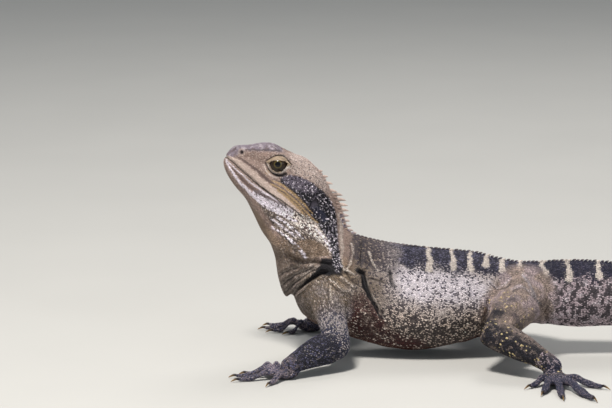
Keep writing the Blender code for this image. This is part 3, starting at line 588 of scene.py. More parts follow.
def digit_rings(root, heading, reach, radius, arch):
    """A finger or toe that rises over its knuckles and comes down to a blunt end on the floor."""
    direction = np.array((math.cos(heading), math.sin(heading), 0))
    out = np.array((-direction[1], direction[0], 0))
    low = radius / DIGIT_DRAWN
    rise = smooth_curve((
        (-0.25, 3, 1.05), (0, 3.6 + 0.2 * arch, 1.1), (0.3, 3.4 + arch, 1),
        (0.5, 2.2 + 0.55 * arch, 0.92), (0.64, 2.1 * low + 0.08 * arch, 1), (0.85, 1.7 * low, 0.74),
        (1, DIGIT_END * low, 0.62),
    ))
    rings = []
    turn = turns(18)
    for share in np.linspace(-0.25, 1, 30):
        high, fat = rise(share)[0]
        middle = root + direction * (reach * share)
        middle[2] = high
        fat *= radius
        rings.append(
            middle + out * (np.cos(turn) * fat)[:, None]
            + np.array((0, 0, 1)) * (np.sin(turn) * fat * 0.95)[:, None])
    return np.array(rings)


# Making meshes


def add_loft(bm, rings, closed_ring=False):
    """Adds a closed body: a flat grid bent round through the rings, its seam merged and its ends filled."""
    rows, count = rings.shape[:2]
    made = bmesh.ops.create_grid(bm, x_segments=count, y_segments=rows - 1, size=1)["verts"]
    seam = []
    for vert in made:
        i = round((vert.co.x + 1) / 2 * count)
        j = round((vert.co.y + 1) / 2 * (rows - 1))
        vert.co = rings[j][i % count]
        if i in (0, count) or (closed_ring and j in (0, rows - 1)):
            seam.append(vert)
    bmesh.ops.remove_doubles(bm, verts=seam, dist=1e-4)
    if not closed_ring:
        rims = list({e for v in seam if v.is_valid for e in v.link_edges if e.is_boundary})
        loops = {e for rim in rims for e in rim_edges(rim)}
        bmesh.ops.holes_fill(bm, edges=list(loops), sides=0)


def rim_edges(edge):
    """All edges of the open rim that this edge is on."""
    found, ends = {edge}, list(edge.verts)
    while ends:
        for link in ends.pop().link_edges:
            if link.is_boundary and link not in found:
                found.add(link)
                ends.extend(link.verts)
    return found


def finish_object(name, mesh, material, replaced=()):
    """Makes an object at the origin that rides on the body and stands for the named nodes."""
    obj = bpy.data.objects.new(name, mesh)
    bpy.context.scene.collection.objects.link(obj)
    mesh.materials.append(material)
    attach(obj, "root")
    if replaced:
        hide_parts(*replaced)


def to_frame(points):
    """From the drawing's millimetres to the frame's metres."""
    return (np.asarray(points) - ORIGIN) * MM


def member_rows(members, name, width, kind=np.float32):
    """One property of every member of a mesh's list, as a row of numbers each."""
    rows = np.empty(len(members) * width, kind)
    members.foreach_get(name, rows)
    return rows.reshape(-1, width).astype(float if kind is np.float32 else kind)


def mesh_points(mesh):
    """The mesh's points in the drawing's millimetres."""
    return member_rows(mesh.vertices, "co", 3) / MM + ORIGIN


def move_points(mesh, points):
    """Puts the mesh's points at these places of the drawing."""
    mesh.vertices.foreach_set("co", to_frame(points).astype(np.float32).ravel())
    mesh.update()


def drawn_mesh(bm, name):
    """The drawing as a smooth mesh in the frame's place and metres, facing outwards."""
    bmesh.ops.recalc_face_normals(bm, faces=bm.faces)
    bmesh.ops.translate(bm, verts=bm.verts, vec=-Vector(ORIGIN))
    bmesh.ops.scale(bm, verts=bm.verts, vec=(MM, MM, MM))
    mesh = bpy.data.meshes.new(name)
    bm.to_mesh(mesh)
    bm.free()
    mesh.shade_smooth()
    return mesh


def tree_of(points):
    """A tree that finds the nearest of these points."""
    tree = KDTree(len(points))
    for i, place in enumerate(points.tolist()):
        tree.insert(place, i)
    tree.balance()
    return tree


def applied(obj):
    """The mesh that the object's modifiers make."""
    bpy.context.view_layer.update()
    graph = bpy.context.evaluated_depsgraph_get()
    return bpy.data.meshes.new_from_object(obj.evaluated_get(graph))


def step(low, high, value):
    """0 before low, 1 past high, and smooth between."""
    t = np.clip((np.asarray(value, float) - low) / (high - low), 0, 1)
    return t * t * (3 - 2 * t)


def bump(value, centre, width):
    """1 at the centre, falling smoothly to 0 a few widths away."""
    return np.exp(-(((np.asarray(value, float) - centre) / width) ** 2))


def cloud(points, grain, seed=0):
    """Soft noise from -1 to 1 with lumps of this size in millimetres."""
    scaled = np.asarray(points) / grain + seed
    return np.array([noise(p) for p in scaled.tolist()]) * 1.6


def line_distance(x, y, line):
    """Distance in a plane from each point to a line of joined straight pieces, and the share along it."""
    best = np.full(len(x), 1e9)
    share = np.zeros(len(x))
    pieces = list(zip(line, line[1:]))
    for number, ((ax, ay), (bx, by)) in enumerate(pieces):
        dx, dy = bx - ax, by - ay
        t = np.clip(((x - ax) * dx + (y - ay) * dy) / (dx * dx + dy * dy), 0, 1)
        away = np.hypot(x - ax - t * dx, y - ay - t * dy)
        nearer = away < best
        best[nearer] = away[nearer]
        share[nearer] = ((number + t) / len(pieces))[nearer]
    return best, share


# Where a point lies on the animal


def body_axes(points):
    """Each point's distance along the body and its turn round it, 0 on the back and 1 under the belly."""
    places = np.arange(0, BODY_LENGTH, 1)
    middle, up, side, above, below, width = body_frames(places)
    along = np.cross(side, up)
    along *= np.sign((np.gradient(middle, axis=0) * along).sum(axis=1))[:, None]
    tree = tree_of(middle)
    near = np.array([tree.find(p)[1] for p in points.tolist()])
    off = points - middle[near]
    run = places[near] + (off * along[near]).sum(axis=1)
    high = (off * up[near]).sum(axis=1)
    high /= np.where(high > 0, above[near], below[near])
    wide = np.abs((off * side[near]).sum(axis=1)) / width[near]
    return run, np.arctan2(wide, high) / math.pi


# Half widths round a limb's three lengths that count as the limb, from its root to the digits' tips.
LIMB_REACH = {"arm": (12.5, 11, 9), "leg": (17, 14, 11)}
DIGIT_REACH = 34.0
FOOT_LENGTH = 25.0


def limb_axes(points):
    """How surely each point is on a limb, whether that is a leg, and how far down it lies, from 0 to 3."""
    sure = np.zeros(len(points))
    leg = np.zeros(len(points))
    down = np.zeros(len(points))
    for (limb, side), (start, bend, end, heading) in JOINTS.items():
        turn = math.radians(heading)
        ahead = np.array((math.cos(turn), math.sin(turn), 0))
        foot = mirrored(end, side) * (1, 1, 0) + ahead * FOOT_LENGTH
        line = [mirrored(start, side), mirrored(bend, side), mirrored(end, side), foot]
        reach = (*LIMB_REACH[limb], DIGIT_REACH)
        for number, (a, b) in enumerate(zip(line, line[1:])):
            t = np.clip(((points - a) @ (b - a)) / ((b - a) @ (b - a)), 0, 1)
            away = np.linalg.norm(points - a - t[:, None] * (b - a), axis=1)
            wide = reach[number] * (1 - t) + reach[number + 1] * t
            here = 1 - step(1.05, 1.5, away / wide)
            if number == 2:
                here = 1 - step(1, 1.2, away / np.maximum(wide, 12))
            better = here > sure + 0.02
            sure = np.where(better, here, sure)
            leg = np.where(better, float(limb == "leg"), leg)
            down = np.where(better, number + t, down)
    return sure, leg, down


# The markings, with painted light and shade


def mix(base, over, share):
    """Lays one colour over another, or over those of the points, by each point's share from 0 to 1."""
    share = np.clip(np.asarray(share, float), 0, 1)[..., None]
    return np.asarray(base) * (1 - share) + np.asarray(over) * share


# The camera stands this far off, in millimetres, looking down a little at a point of this height.
VIEW_FAR = 2000.0
VIEW_RISE = math.radians(10.0)
VIEW_LEVEL = 100.4
# The markings are drawn on a side view of this many units, seen from there.
SIDE_WIDE, SIDE_HIGH = 612, 408
SIDE_UNIT = 0.661  # millimetres of the animal to each unit


def side_view(points):
    """Each point's place on the side view, rightwards and down, the right half folded on the left."""
    u, side, h = head_axes(points)
    ahead = head_place_all(u, np.abs(side), h)
    on_head = (u < HEAD_LENGTH) & (points[:, 0] < 40) & (points[:, 2] > 60)
    x, y, z = np.where(on_head[:, None], ahead, points * (1, 0, 1) - np.abs(points) * (0, 1, 0)).T
    c, s, z = math.cos(VIEW_RISE), math.sin(VIEW_RISE), z - VIEW_LEVEL
    zoom = VIEW_FAR / SIDE_UNIT / (VIEW_FAR + y * c - z * s)
    return SIDE_WIDE / 2 + zoom * x, SIDE_HIGH / 2 - zoom * (z * c + y * s)


def head_place_all(u, side, h):
    """head_place for many points at once."""
    back, up = np.array(HEAD_BACK), np.array(HEAD_UP)
    local = np.array(SNOUT) + u[:, None] * back + h[:, None] * up - side[:, None] * (0, 1, 0)
    return np.array(HEAD_PIVOT) + (local - np.array(HEAD_PIVOT)) @ np.array(HEAD_TURN).T


def stroke(x, y, line, wide, soft=0.6):
    """1 within a line's half width, which goes through these values from its start to its end."""
    away, share = line_distance(x, y, line)
    half = np.interp(share, np.linspace(0, 1, len(wide)), wide)
    return 1 - step(half - soft, half + soft, away)


def patch(x, y, outline, soft=1):
    """1 inside an outline and 0 outside it."""
    closed = tuple(outline) + (outline[0],)
    away, _ = line_distance(x, y, closed)
    inside = np.zeros(len(x), bool)
    for (ax, ay), (bx, by) in zip(closed, closed[1:]):
        crosses = (ay > y) != (by > y)
        inside ^= crosses & (x < (bx - ax) * (y - ay) / ((by - ay) or 1e-9) + ax)
    return step(-soft, soft, np.where(inside, away, -away))


# The head's markings, on the side view. Each is drawn with only the points that its shape needs.
# A ridge or fold is a line with the half widths that it goes through.
CROWN_AREA = (
    (222, 150), (228, 144), (250, 142), (264, 136), (290, 136), (303, 152), (281, 151.5), (268, 151),
    (256, 150.5), (248, 150.5), (240, 153), (233, 157), (226, 159), (221, 158),
)
# Painted shade under the edge of the brow.
BROW_LINE = ((248, 149.8), (260, 150), (270, 150.3), (281, 150.8))
CANTHUS_LINE = (
    (236, 156), (242, 159.5), (248, 163.5), (258, 170.7), (266, 178.6), (274, 185.6), (283, 192.5),
    (294, 201),
)
LIP_AREA = (
    (223, 155), (232, 157), (241, 161), (250, 168), (258, 175), (266, 182), (275, 189), (285, 197),
    (297, 207), (304, 216), (294, 210), (283, 203), (272, 196), (262, 188), (252, 180), (242, 171),
    (233, 163), (223, 157),
)
MOUTH_LINE = (
    (222, 155), (232, 161.5), (241, 170), (251, 179), (261, 187), (271, 194), (281, 200), (292, 208),
    (302, 216),
)
LOWER_LIP_LINE = ((227, 161), (240, 173), (250, 182), (262, 191), (273, 198), (284, 205))
JAW_BAND = ((232, 168), (240, 177), (248, 185), (256, 191), (265, 196), (275, 200.5), (286, 206))
CHIN_SCALES = (
    (226, 160), (231, 170), (237, 179), (244, 187), (252, 194.5), (261, 202), (270, 208), (280, 213),
    (289, 217.5), (296, 220.5),
)
JOWL_AREA = (
    (255, 192), (268, 197), (282, 203), (296, 212), (308, 214), (318, 222), (328, 234), (333, 246),
    (337, 259), (330, 256), (320, 257.5), (306, 258), (297, 251), (286, 240), (276, 229), (268, 218),
    (258, 203),
)
JOWL_CREAM = (
    (286, 209), (296, 212), (308, 214), (318, 222), (328, 234), (333, 246), (337, 259), (329.5, 252.5),
    (321.5, 242.5), (311.5, 235.5), (300.5, 228.5), (290, 222), (281, 214),
)
CHIN_WHITE = (
    (253, 190), (262, 191), (272, 197), (284, 204), (294, 211), (292, 216), (281, 213.5), (270, 208),
    (261, 202), (252, 195),
)
JOWL_BARE = (
    (292, 243), (300, 239.5), (312, 239), (321, 243.5), (327, 248), (330.5, 254), (326, 256), (316.5, 257),
    (308.5, 258), (302, 256), (297.5, 249.5),
)
JOWL_RIDGES = (
    (((271, 227), (281, 232.7), (288, 238), (296, 245.5), (302, 252), (305, 257.5)), (0.6, 1.1, 1.3, 1)),
    (((270, 218), (277.7, 223), (285, 229), (295, 236)), (0.9, 1.1, 0.8)),
    (((277, 217), (285, 222), (294, 230), (303, 238)), (0.9, 1.1, 0.8)),
    (((313, 226), (321, 234), (328, 244), (332, 252), (336.5, 259)), (0.5, 0.9, 1.3, 1.2)),
)
OCHRE_ROWS = (
    ((272, 180.5), (284, 186), (294, 194), (304, 204), (313, 214)),
    ((271, 184), (283, 190.5), (293, 199), (303, 209), (312, 218), (318, 223)),
    ((277, 190), (287, 197), (297, 207), (306, 216)),
)
TEMPLE = (
    (288, 152), (300, 156), (312, 164), (322, 176), (330, 188), (335, 204), (328, 197), (318, 186),
    (305, 177), (292, 173.5), (289, 168), (292, 163),
)
BLACK_BAND = (
    (279.5, 178.5), (284, 176), (290, 174.5), (300, 176.5), (312, 182.5), (322, 190), (330, 199),
    (335, 209), (337, 222), (338.5, 240), (340, 258), (343, 270), (336, 274), (332, 262), (331, 250),
    (327, 238), (319, 226), (312, 216.5), (304, 206), (295, 196.5), (287, 188.5), (281, 183.5),
)
BAND_FRONT = ((280, 176), (292, 174), (306, 178), (316, 186), (318, 192), (306, 192), (296, 190), (286, 184))
BARE_BELOW_EAR = ((311, 207), (318, 206), (325, 213), (328, 221), (323, 222), (316, 214))
CREAM_STRIPE = ((338, 214), (341, 226), (342.5, 240), (342.5, 252), (341, 264))

# Round the eye, in millimetres from the pupil, rightwards and up.
OPENING = (
    (-6.2, 1), (-5, 2.2), (-3.1, 2.9), (0, 3), (3.2, 2.8), (5.4, 2.2), (6.1, 1), (5.2, -1.2),
    (3.8, -2.6), (1.8, -4), (-0.2, -4.3), (-2.7, -3.3), (-4.5, -1.4),
)
# The crease above the upper lid, painted dark as shade.
LID_CREASE = (
    (-8.5, 2.3), (-5.7, 3.9), (-3.4, 5.6), (-1.5, 6.4), (0.9, 6.6), (2.9, 6.2), (5, 5), (6.9, 2.8),
    (9, 0.6),
)
LID_RIM = (
    (-7.2, 0.6), (-5.8, -1.9), (-4.2, -3.9), (-2.4, -4.9), (-0.1, -5.2), (1.8, -5), (3.6, -4),
    (5.3, -2.2), (7, -0.8),
)
# Painted shadow under the lower lid.
UNDER_LID = (
    (-8.6, 1.4), (-7.6, -1), (-5.9, -3.8), (-4.2, -5.3), (-2.4, -6.2), (0, -6.9), (2.6, -6.8),
    (5, -5.6),
)
BAG_LINE = ((-9.6, 0.2), (-8.6, -3), (-6.4, -5.8), (-3.4, -7.6), (0, -8.4))

# The trunk's markings, with the painted shade and highlights of its folds, on the side view.
# Under the jowl: partly the end of the black band and partly painted shadow under the jowl's overhang.
UNDER_JOWL_SHADOW = (
    (321, 259), (331, 259), (338, 261), (344, 266), (342, 275), (331, 275), (321, 276), (313, 280),
    (304, 286), (299, 290), (304, 281), (311, 275), (317, 268),
)
# Folds of the throat: painted shade in each crease and a painted highlight beside it.
POUCH_FOLDS = (
    (((280, 287), (288, 279.5), (296, 274.5), (306, 270.5), (313, 266.5)), (0.5, 1, 0.8)),
    (((284, 293), (293, 284), (301, 278), (309, 273), (317, 268)), (0.6, 1.1, 0.9)),
    (((290, 298.5), (296.5, 289.5), (305, 283), (313, 278), (321, 273.5), (331, 271)), (0.8, 1.4, 1.4)),
    (((278, 277), (285, 272), (293, 269), (301, 266)), (0.3, 0.6, 0.4)),
)
# The slit behind the shoulder, painted dark as shade, and its rim, painted pale as a highlight.
SLIT_LINE = ((357, 270.5), (362.8, 273.5), (365.5, 285), (370, 297), (376.5, 309), (382, 319))
SLIT_RIM = ((366.5, 276), (369.5, 290), (375, 301), (381, 312), (385.5, 320))
# Ridges of the shoulder: a painted highlight on each and painted shade beside it.
SHOULDER_RIDGES = (
    (((352, 243), (352.5, 255), (351, 264), (347, 271)), (0.9, 0.6)),
    (((340, 262), (345, 270), (353, 274)), (1.2, 0.7)),
    (((329, 279), (336, 284), (344, 290), (352, 291)), (0.9, 0.6)),
    (((341, 277), (348, 283), (356, 288)), (0.9, 0.6)),
    (((331, 287), (330, 296), (333, 303)), (0.8, 0.6)),
    (((369, 252), (372, 262), (379, 271)), (1, 0.7)),
)
# Folds of the shoulder, painted dark as shade in their creases.
SHOULDER_FOLDS = (
    (((361, 240), (362, 252), (360, 266)), (0.8, 0.6)),
    (((345, 272), (350, 280), (360, 286)), (0.7, 0.5)),
    (((368, 278), (378, 281), (388, 284)), (0.7, 0.5)),
    (((333, 286), (342, 293), (348, 297)), (0.7, 0.5)),
    (((390, 272), (391, 280), (394, 287)), (2.4, 2)),
)
# A yellowish painted highlight on the shoulder.
YELLOW_AREA = ((332, 262), (344, 258), (353, 262), (356, 272), (352, 283), (342, 290), (330, 292), (326, 280))
CHEST_AREA = (
    (338, 302), (352, 294), (364, 292), (374, 304), (384, 318), (386, 326), (400, 334), (425, 342),
    (425, 352), (390, 352), (352, 342), (346, 330), (340, 316),
)
WHITE_AREA = (
    (396, 268), (412, 268), (428, 269), (446, 272), (464, 274), (478, 279), (489, 288), (487, 300),
    (478, 309), (460, 306), (440, 305), (418, 302), (402, 298), (395, 286),
)
BARS = (
    ((428, 247), (429.5, 258), (429, 268)), ((451, 250), (452.5, 258), (453.5, 267)),
    ((469, 252), (470, 260), (471.5, 268)), ((485.5, 254), (486, 259), (485.5, 265)),
    ((502, 258), (502.5, 264), (502, 270)), ((518.5, 262), (518.5, 267), (517.5, 272)),
    ((541, 260), (543, 267), (546, 273)), ((566, 259), (569, 268), (569.5, 278)),
    ((597.5, 261), (598.5, 269), (599.5, 276)),
)
# A painted highlight along the top of the shank.
SHANK_HIGHLIGHT = ((500, 320), (520, 331), (540, 343), (554, 356))
# Folds of the hip: painted shade in each and a painted highlight beside it.
HIP_FOLDS = (
    (((489, 284), (498, 290), (506, 288), (512, 280)), (0.8, 0.5)),
    (((512, 291), (522, 287), (530, 293), (535, 300)), (0.8, 0.5)),
    (((486, 300), (489, 310), (487, 318)), (0.8, 0.5)),
    (((524, 276), (530, 286), (536, 298), (541, 306)), (1.6, 0.8)),
)

# Where one tone gives way to another on the side view, as the first and last place rightwards.
FORE_END = (366, 404)
BACK_START = (380, 412)
NAPE_GREY_START = (345, 356)
BARS_START = 405.0
FLANK_START = 350.0
# The same downwards.
NAPE_END = (262, 274)
THROAT_GREYING = (225, 285)
THROAT_END = (312, 322)
BAND_FLECKS = (212, 230)
# A point on the slanting edge of the nape, of the throat, and of the chin.
NAPE_EDGE = (352, 250)
THROAT_EDGE = (318, 260)
CHIN_EDGE = (236, 184)


def eye_view(points):
    """Millimetres rightwards and up from the pupil as the side view shows them, and from the middle plane."""
    u, side, h = head_axes(points)
    du, dh = u - EYE[0], h - EYE[1]
    c, s = math.cos(HEAD_PITCH), math.sin(HEAD_PITCH)
    return du * c + dh * s, dh * c - du * s, np.abs(side)


def from_mark(u, h, mark):
    """Distance in head axes from the nostril or the ear, seen from the side."""
    return np.hypot(u - mark[0], h - mark[1])


def paint(points, chance):
    """The markings' colour, with painted light and shade, at each point of the skin, or at each scale with
    its own chance from 0 to 1.
    """
    c = bpy.context.scene.dragon_colours
    rough = cloud(points, 9, 3)
    fine = cloud(points, 3.2, 7)
    px, py = side_view(points)
    px, py = px + 1.1 * rough + 0.7 * fine, py + 0.9 * cloud(points, 6, 17)
    sure, leg, down = limb_axes(points)
    tone = paint_trunk(c, points, px, py, chance, rough, fine)
    tone = mix(tone, paint_arm(c, down, chance, rough, fine), sure * (1 - leg))
    tone = mix(tone, paint_leg(c, px, py, down, chance, rough, fine), sure * leg)
    tone = paint_neck(c, tone, px, py, chance, rough, 1 - sure)
    tone = paint_head(c, tone, points, chance, rough, fine)
    return tone * (1 + 0.10 * cloud(points, 26, 11)[:, None])


def paint_arm(c, down, chance, rough, fine):
    """Ochre grey at the shoulder and blue grey below, darkened over the forearm as painted shade, with rows
    of pale scales.
    """
    # the forearm darkened as painted shade
    forearm = step(0.9, 1.2, down + 0.1 * rough) * (1 - 0.6 * step(1.9, 2.2, down))
    arm = mix(c.limb, c.limb_dark_and_shade, 0.8 * forearm)
    pale = 0.5 - 0.38 * step(0.8, 1.25, down) + 0.12 * rough
    arm = mix(arm, c.flank, 0.7 * (chance < pale) * (1 - 0.5 * step(0.9, 1.3, down)))
    arm = mix(arm, c.shoulder, (1 - step(0.1, 0.75, down + 0.2 * rough)) * (0.6 + 0.4 * (chance > 0.35)))
    arm = mix(arm, c.cream_and_highlight, 0.5 * (chance > 0.93) * (down < 0.9))
    arm = mix(arm, c.dusk, 0.7 * (chance > 0.72) * step(1, 1.6, down))
    hand = step(1.85, 2.1, down) * (1 - 0.6 * step(2.4, 2.8, down))
    return mix(arm, c.tail, 0.55 * (chance < 0.5 + 0.3 * fine) * hand)


def paint_leg(c, px, py, down, chance, rough, fine):
    """Brown thigh, blackish shank with yellow spots and a painted highlight along its top, and blue grey
    foot.
    """
    shank = step(0.5, 0.95, down + 0.3 * rough)
    leg = mix(c.hip_tan_and_highlight, c.tail, 0.6 * step(-0.1, 0.4, rough))
    leg = mix(leg, c.speck_and_shade, 0.5 * (chance < 0.16 + 0.2 * fine))
    leg = mix(leg, c.limb_dark_and_shade, shank)
    leg = mix(leg, c.hip_tan_and_highlight, 0.4 * step(0.15, 0.5, fine) * (chance > 0.3) * shank)
    # painted highlight along the top of the shank
    leg = mix(leg, c.hip_tan_and_highlight, 0.5 * stroke(px, py, SHANK_HIGHLIGHT, (5, 5, 3), 3) * (chance > 0.12))
    leg = mix(leg, c.limb, step(1.75, 2.15, down + 0.1 * rough))
    leg = mix(leg, c.spot, 0.85 * (chance > 0.955) * (down > 0.35) * (down < 2.2))
    foot = (down > 1.8) * (1 - 0.5 * step(2.4, 2.8, down))
    return mix(leg, c.tail, 0.55 * (chance < 0.34 + 0.2 * fine) * foot)


def paint_trunk(c, points, px, py, chance, rough, fine):
    """Trunk and tail: pale and dark grains on the flank, and a dark back with cream bars."""
    streak = cloud(points * (1, 1, 0.4), 2.3, 23)
    run, turn = body_axes(points)
    fore = 1 - step(*FORE_END, px + 5 * rough)
    white = patch(px, py, WHITE_AREA, 7)
    low = step(0.38, 0.66, turn + 0.04 * rough)
    light = mix(c.flank, c.white, 0.95 * white)
    light = mix(light, c.salt, low)
    light = mix(light, c.shoulder, 0.9 * fore * (1 - 0.7 * low))
    dark = mix(c.speck_and_shade, c.umber, low)
    share = 0.14 + 0.10 * (1 - white) + 0.40 * low + 0.22 * step(0.66, 0.84, turn)
    share += 0.45 * np.clip(streak, -0.4, 0.9) * (0.5 + 0.1 * low + 0.4 * white) + 0.05 * rough
    light = mix(light, c.dusk, 0.35 * (chance < share + 0.14) * white)
    tone = mix(light, dark, 0.9 * (chance < share * (1 - 0.35 * fore)))
    tone = mix(tone, c.cream_and_highlight, 0.7 * (chance > 0.975) * low)
    chest = patch(px, py, CHEST_AREA, 5)
    tone = mix(tone, c.chest, 0.88 * chest * (chance < 0.86) * (0.85 + 0.3 * rough))
    tone = mix(tone, c.black_and_shade, 0.5 * chest * (chance < 0.3))
    tone = mix(tone, c.belly, 0.85 * step(0.80, 0.88, turn + 0.02 * fine))

    on_tail = step(TRUNK_LENGTH - 64, TRUNK_LENGTH - 48, run + 3 * rough)
    pale = mix(c.tail, c.white, 0.5 * step(0.2, 0.6, fine))
    share = 0.50 - 0.26 * step(0.45, 0.85, turn) + 0.85 * streak + 0.15 * rough
    share += 0.35 * step(TRUNK_LENGTH + 230, TRUNK_LENGTH + 460, run)
    tone = mix(tone, mix(pale, c.tail_dark, 0.88 * step(-0.12, 0.12, share - chance)), on_tail)

    edge = 0.235 + 0.04 * rough + 0.05 * on_tail
    back = 1 - step(edge - 0.04, edge + 0.05, turn + 0.09 * (chance - 0.5))
    back *= np.maximum(step(*BACK_START, px + 6 * rough), on_tail)
    lit = (chance > 0.7 - 0.15 * fine) * (1 - 0.7 * on_tail)
    tone = mix(tone, mix(c.back, c.dusk, 0.65 * lit), 0.95 * back)
    grey = (1 - step(0.26, 0.34, turn)) * (1 - step(*BACK_START, px)) * step(*NAPE_GREY_START, px)
    tone = mix(tone, c.speck_and_shade, 0.75 * grey * (chance < 0.8))
    bars = bars_across(px, py, run, turn, rough, fine)
    return mix(tone, c.cream_and_highlight, 0.92 * step(0.3, 0.7, bars - 0.6 * (chance - 0.5)))


def bars_across(px, py, run, turn, rough, fine):
    """1 in the bars: those of the back as drawn, and those of the tail ever broader and wider apart."""
    bars = np.zeros(len(px))
    for line in BARS:
        bars = np.maximum(bars, stroke(px, py, line, (1.6, 2.4, 3.3), 1.5))
    bars *= (turn < 0.42) * (px > BARS_START)
    at, number = TRUNK_LENGTH - 8, 0
    while at < BODY_LENGTH:
        at += 19 + 0.5 * number
        reach = 0.42 + 0.12 * math.sin(number * 1.7)
        band = bump(run + 2.5 * rough + 1.5 * fine, at, 3.2 + 0.12 * number)
        bars = np.maximum(bars, 0.95 * band * (1 - step(reach, reach + 0.2, turn)))
        number += 1
    return bars


def paint_neck(c, tone, px, py, chance, rough, clear):
    """Nape and throat, painted shade in the folds of throat, shoulder and hip with painted highlights beside
    them, and the black under the jowl, partly the black band's end and partly painted shadow.
    """
    front = step(-3, 3, NAPE_EDGE[0] - px + 0.1 * (py - NAPE_EDGE[1]))
    tone = mix(tone, c.tan, 0.75 * front * (1 - step(*NAPE_END, py)))
    throat = step(-4, 4, THROAT_EDGE[0] - px + 0.25 * (py - THROAT_EDGE[1]))
    skin = mix(c.throat, c.throat_grey, step(*THROAT_GREYING, py))
    skin = mix(skin, c.speck_and_shade, 0.5 * (chance < 0.22))
    skin = mix(skin, c.flank, 0.35 * (chance > 0.8))
    tone = mix(tone, skin, throat * (1 - step(*THROAT_END, py)) * clear)
    # painted highlight on the shoulder
    tone = mix(tone, c.ochre_and_highlight, 0.35 * patch(px, py, YELLOW_AREA, 5) * (0.6 + 0.4 * rough))
    # painted highlight on each ridge of the shoulder and painted shade beside it
    for line, wide in SHOULDER_RIDGES:
        tone = mix(tone, c.cream_and_highlight, 0.75 * stroke(px, py, line, wide, 0.9) * (chance > 0.15))
        tone = mix(tone, c.mouth, 0.6 * stroke(px + 2.4, py - 1.6, line, wide, 0.9))
    # painted shade in the shoulder's folds
    for line, wide in SHOULDER_FOLDS:
        tone = mix(tone, c.black_and_shade, 0.7 * stroke(px, py, line, wide, 0.9))
    # painted shade in the throat's folds and a painted highlight beside each
    for line, wide in POUCH_FOLDS:
        tone = mix(tone, c.black_and_shade, 0.7 * stroke(px, py, line, wide, 0.7))
        tone = mix(tone, c.cream_and_highlight, 0.3 * stroke(px - 1.2, py + 2.6, line, wide, 0.7))
    # painted highlight on the slit's rim, and painted shade in the slit
    tone = mix(tone, c.cream_and_highlight, 0.6 * stroke(px, py, SLIT_RIM, (0.5, 0.7, 0.5), 0.5))
    tone = mix(tone, c.black_and_shade, 0.95 * stroke(px, py, SLIT_LINE, (2.4, 3, 1.9, 1), 0.8))
    tone = mix(tone, c.cream_and_highlight, 0.5 * stroke(px, py, CREAM_STRIPE, (1, 1.7, 1.3), 1))
    # painted shade in the hip's folds and a painted highlight beside each
    for line, wide in HIP_FOLDS:
        tone = mix(tone, c.speck_and_shade, 0.7 * stroke(px, py, line, wide, 0.7))
        tone = mix(tone, c.white, 0.5 * stroke(px + 1.2, py + 2.4, line, wide, 1.2))
    # the black under the jowl: the black band's end and painted shadow under its overhang
    return mix(tone, c.black_and_shade, 0.97 * patch(px, py, UNDER_JOWL_SHADOW, 1))


def paint_head(c, tone, points, chance, rough, fine):
    """The head and its jowls, drawn on the side view and folded onto both sides."""
    u, side, h = head_axes(points)
    px, py = side_view(points)
    px, py = px + 0.35 * fine + 0.2 * rough, py + 0.35 * cloud(points, 2.6, 19)
    vein = cloud(points * (1, 1, 0.5), 1.9, 29)
    on_head = 1 - step(62, 74, u - 0.4 * np.minimum(h, 0) - 0.2 * np.maximum(h, 0) + 2 * rough)
    tone = mix(tone, paint_face(c, u, px, py, chance, rough, fine, vein), on_head)
    tone = paint_jowl(c, tone, px, py, chance)
    tone = mix(tone, paint_band(c, px, py, chance, fine), patch(px, py, BLACK_BAND, 0.9))
    drum, outer = from_mark(u, h, EAR), np.abs(side) > 9
    taut = mix(c.black_and_shade, c.crown, 0.06 + 0.2 * step(-0.2, 0.6, vein + fine))
    tone = mix(tone, taut, (1 - step(2, 2.8, drum)) * outer)
    tone = mix(tone, c.black_and_shade, 0.8 * bump(drum, 3.2, 0.4) * outer)
    for line in OCHRE_ROWS:
        bright = 0.6 + 0.4 * (chance > 0.3)
        tone = mix(tone, c.mouth, 0.75 * stroke(px, py + 2, line, (0.3, 0.8, 0.6), 0.5))
        tone = mix(tone, c.ochre_and_highlight, 0.95 * stroke(px, py, line, (0.6, 1.3, 1.2, 0.6), 0.5) * bright)
    tone = paint_eyelids(c, tone, points)
    hole, outer = from_mark(u, h, NOSTRIL), np.abs(side) > 4
    tone = mix(tone, c.lip, 0.5 * bump(hole, 2.1, 0.6) * outer)
    # the nostril's hole painted black, as shade
    return mix(tone, c.black_and_shade, 0.95 * (1 - step(0.8, 1.3, hole)) * outer)


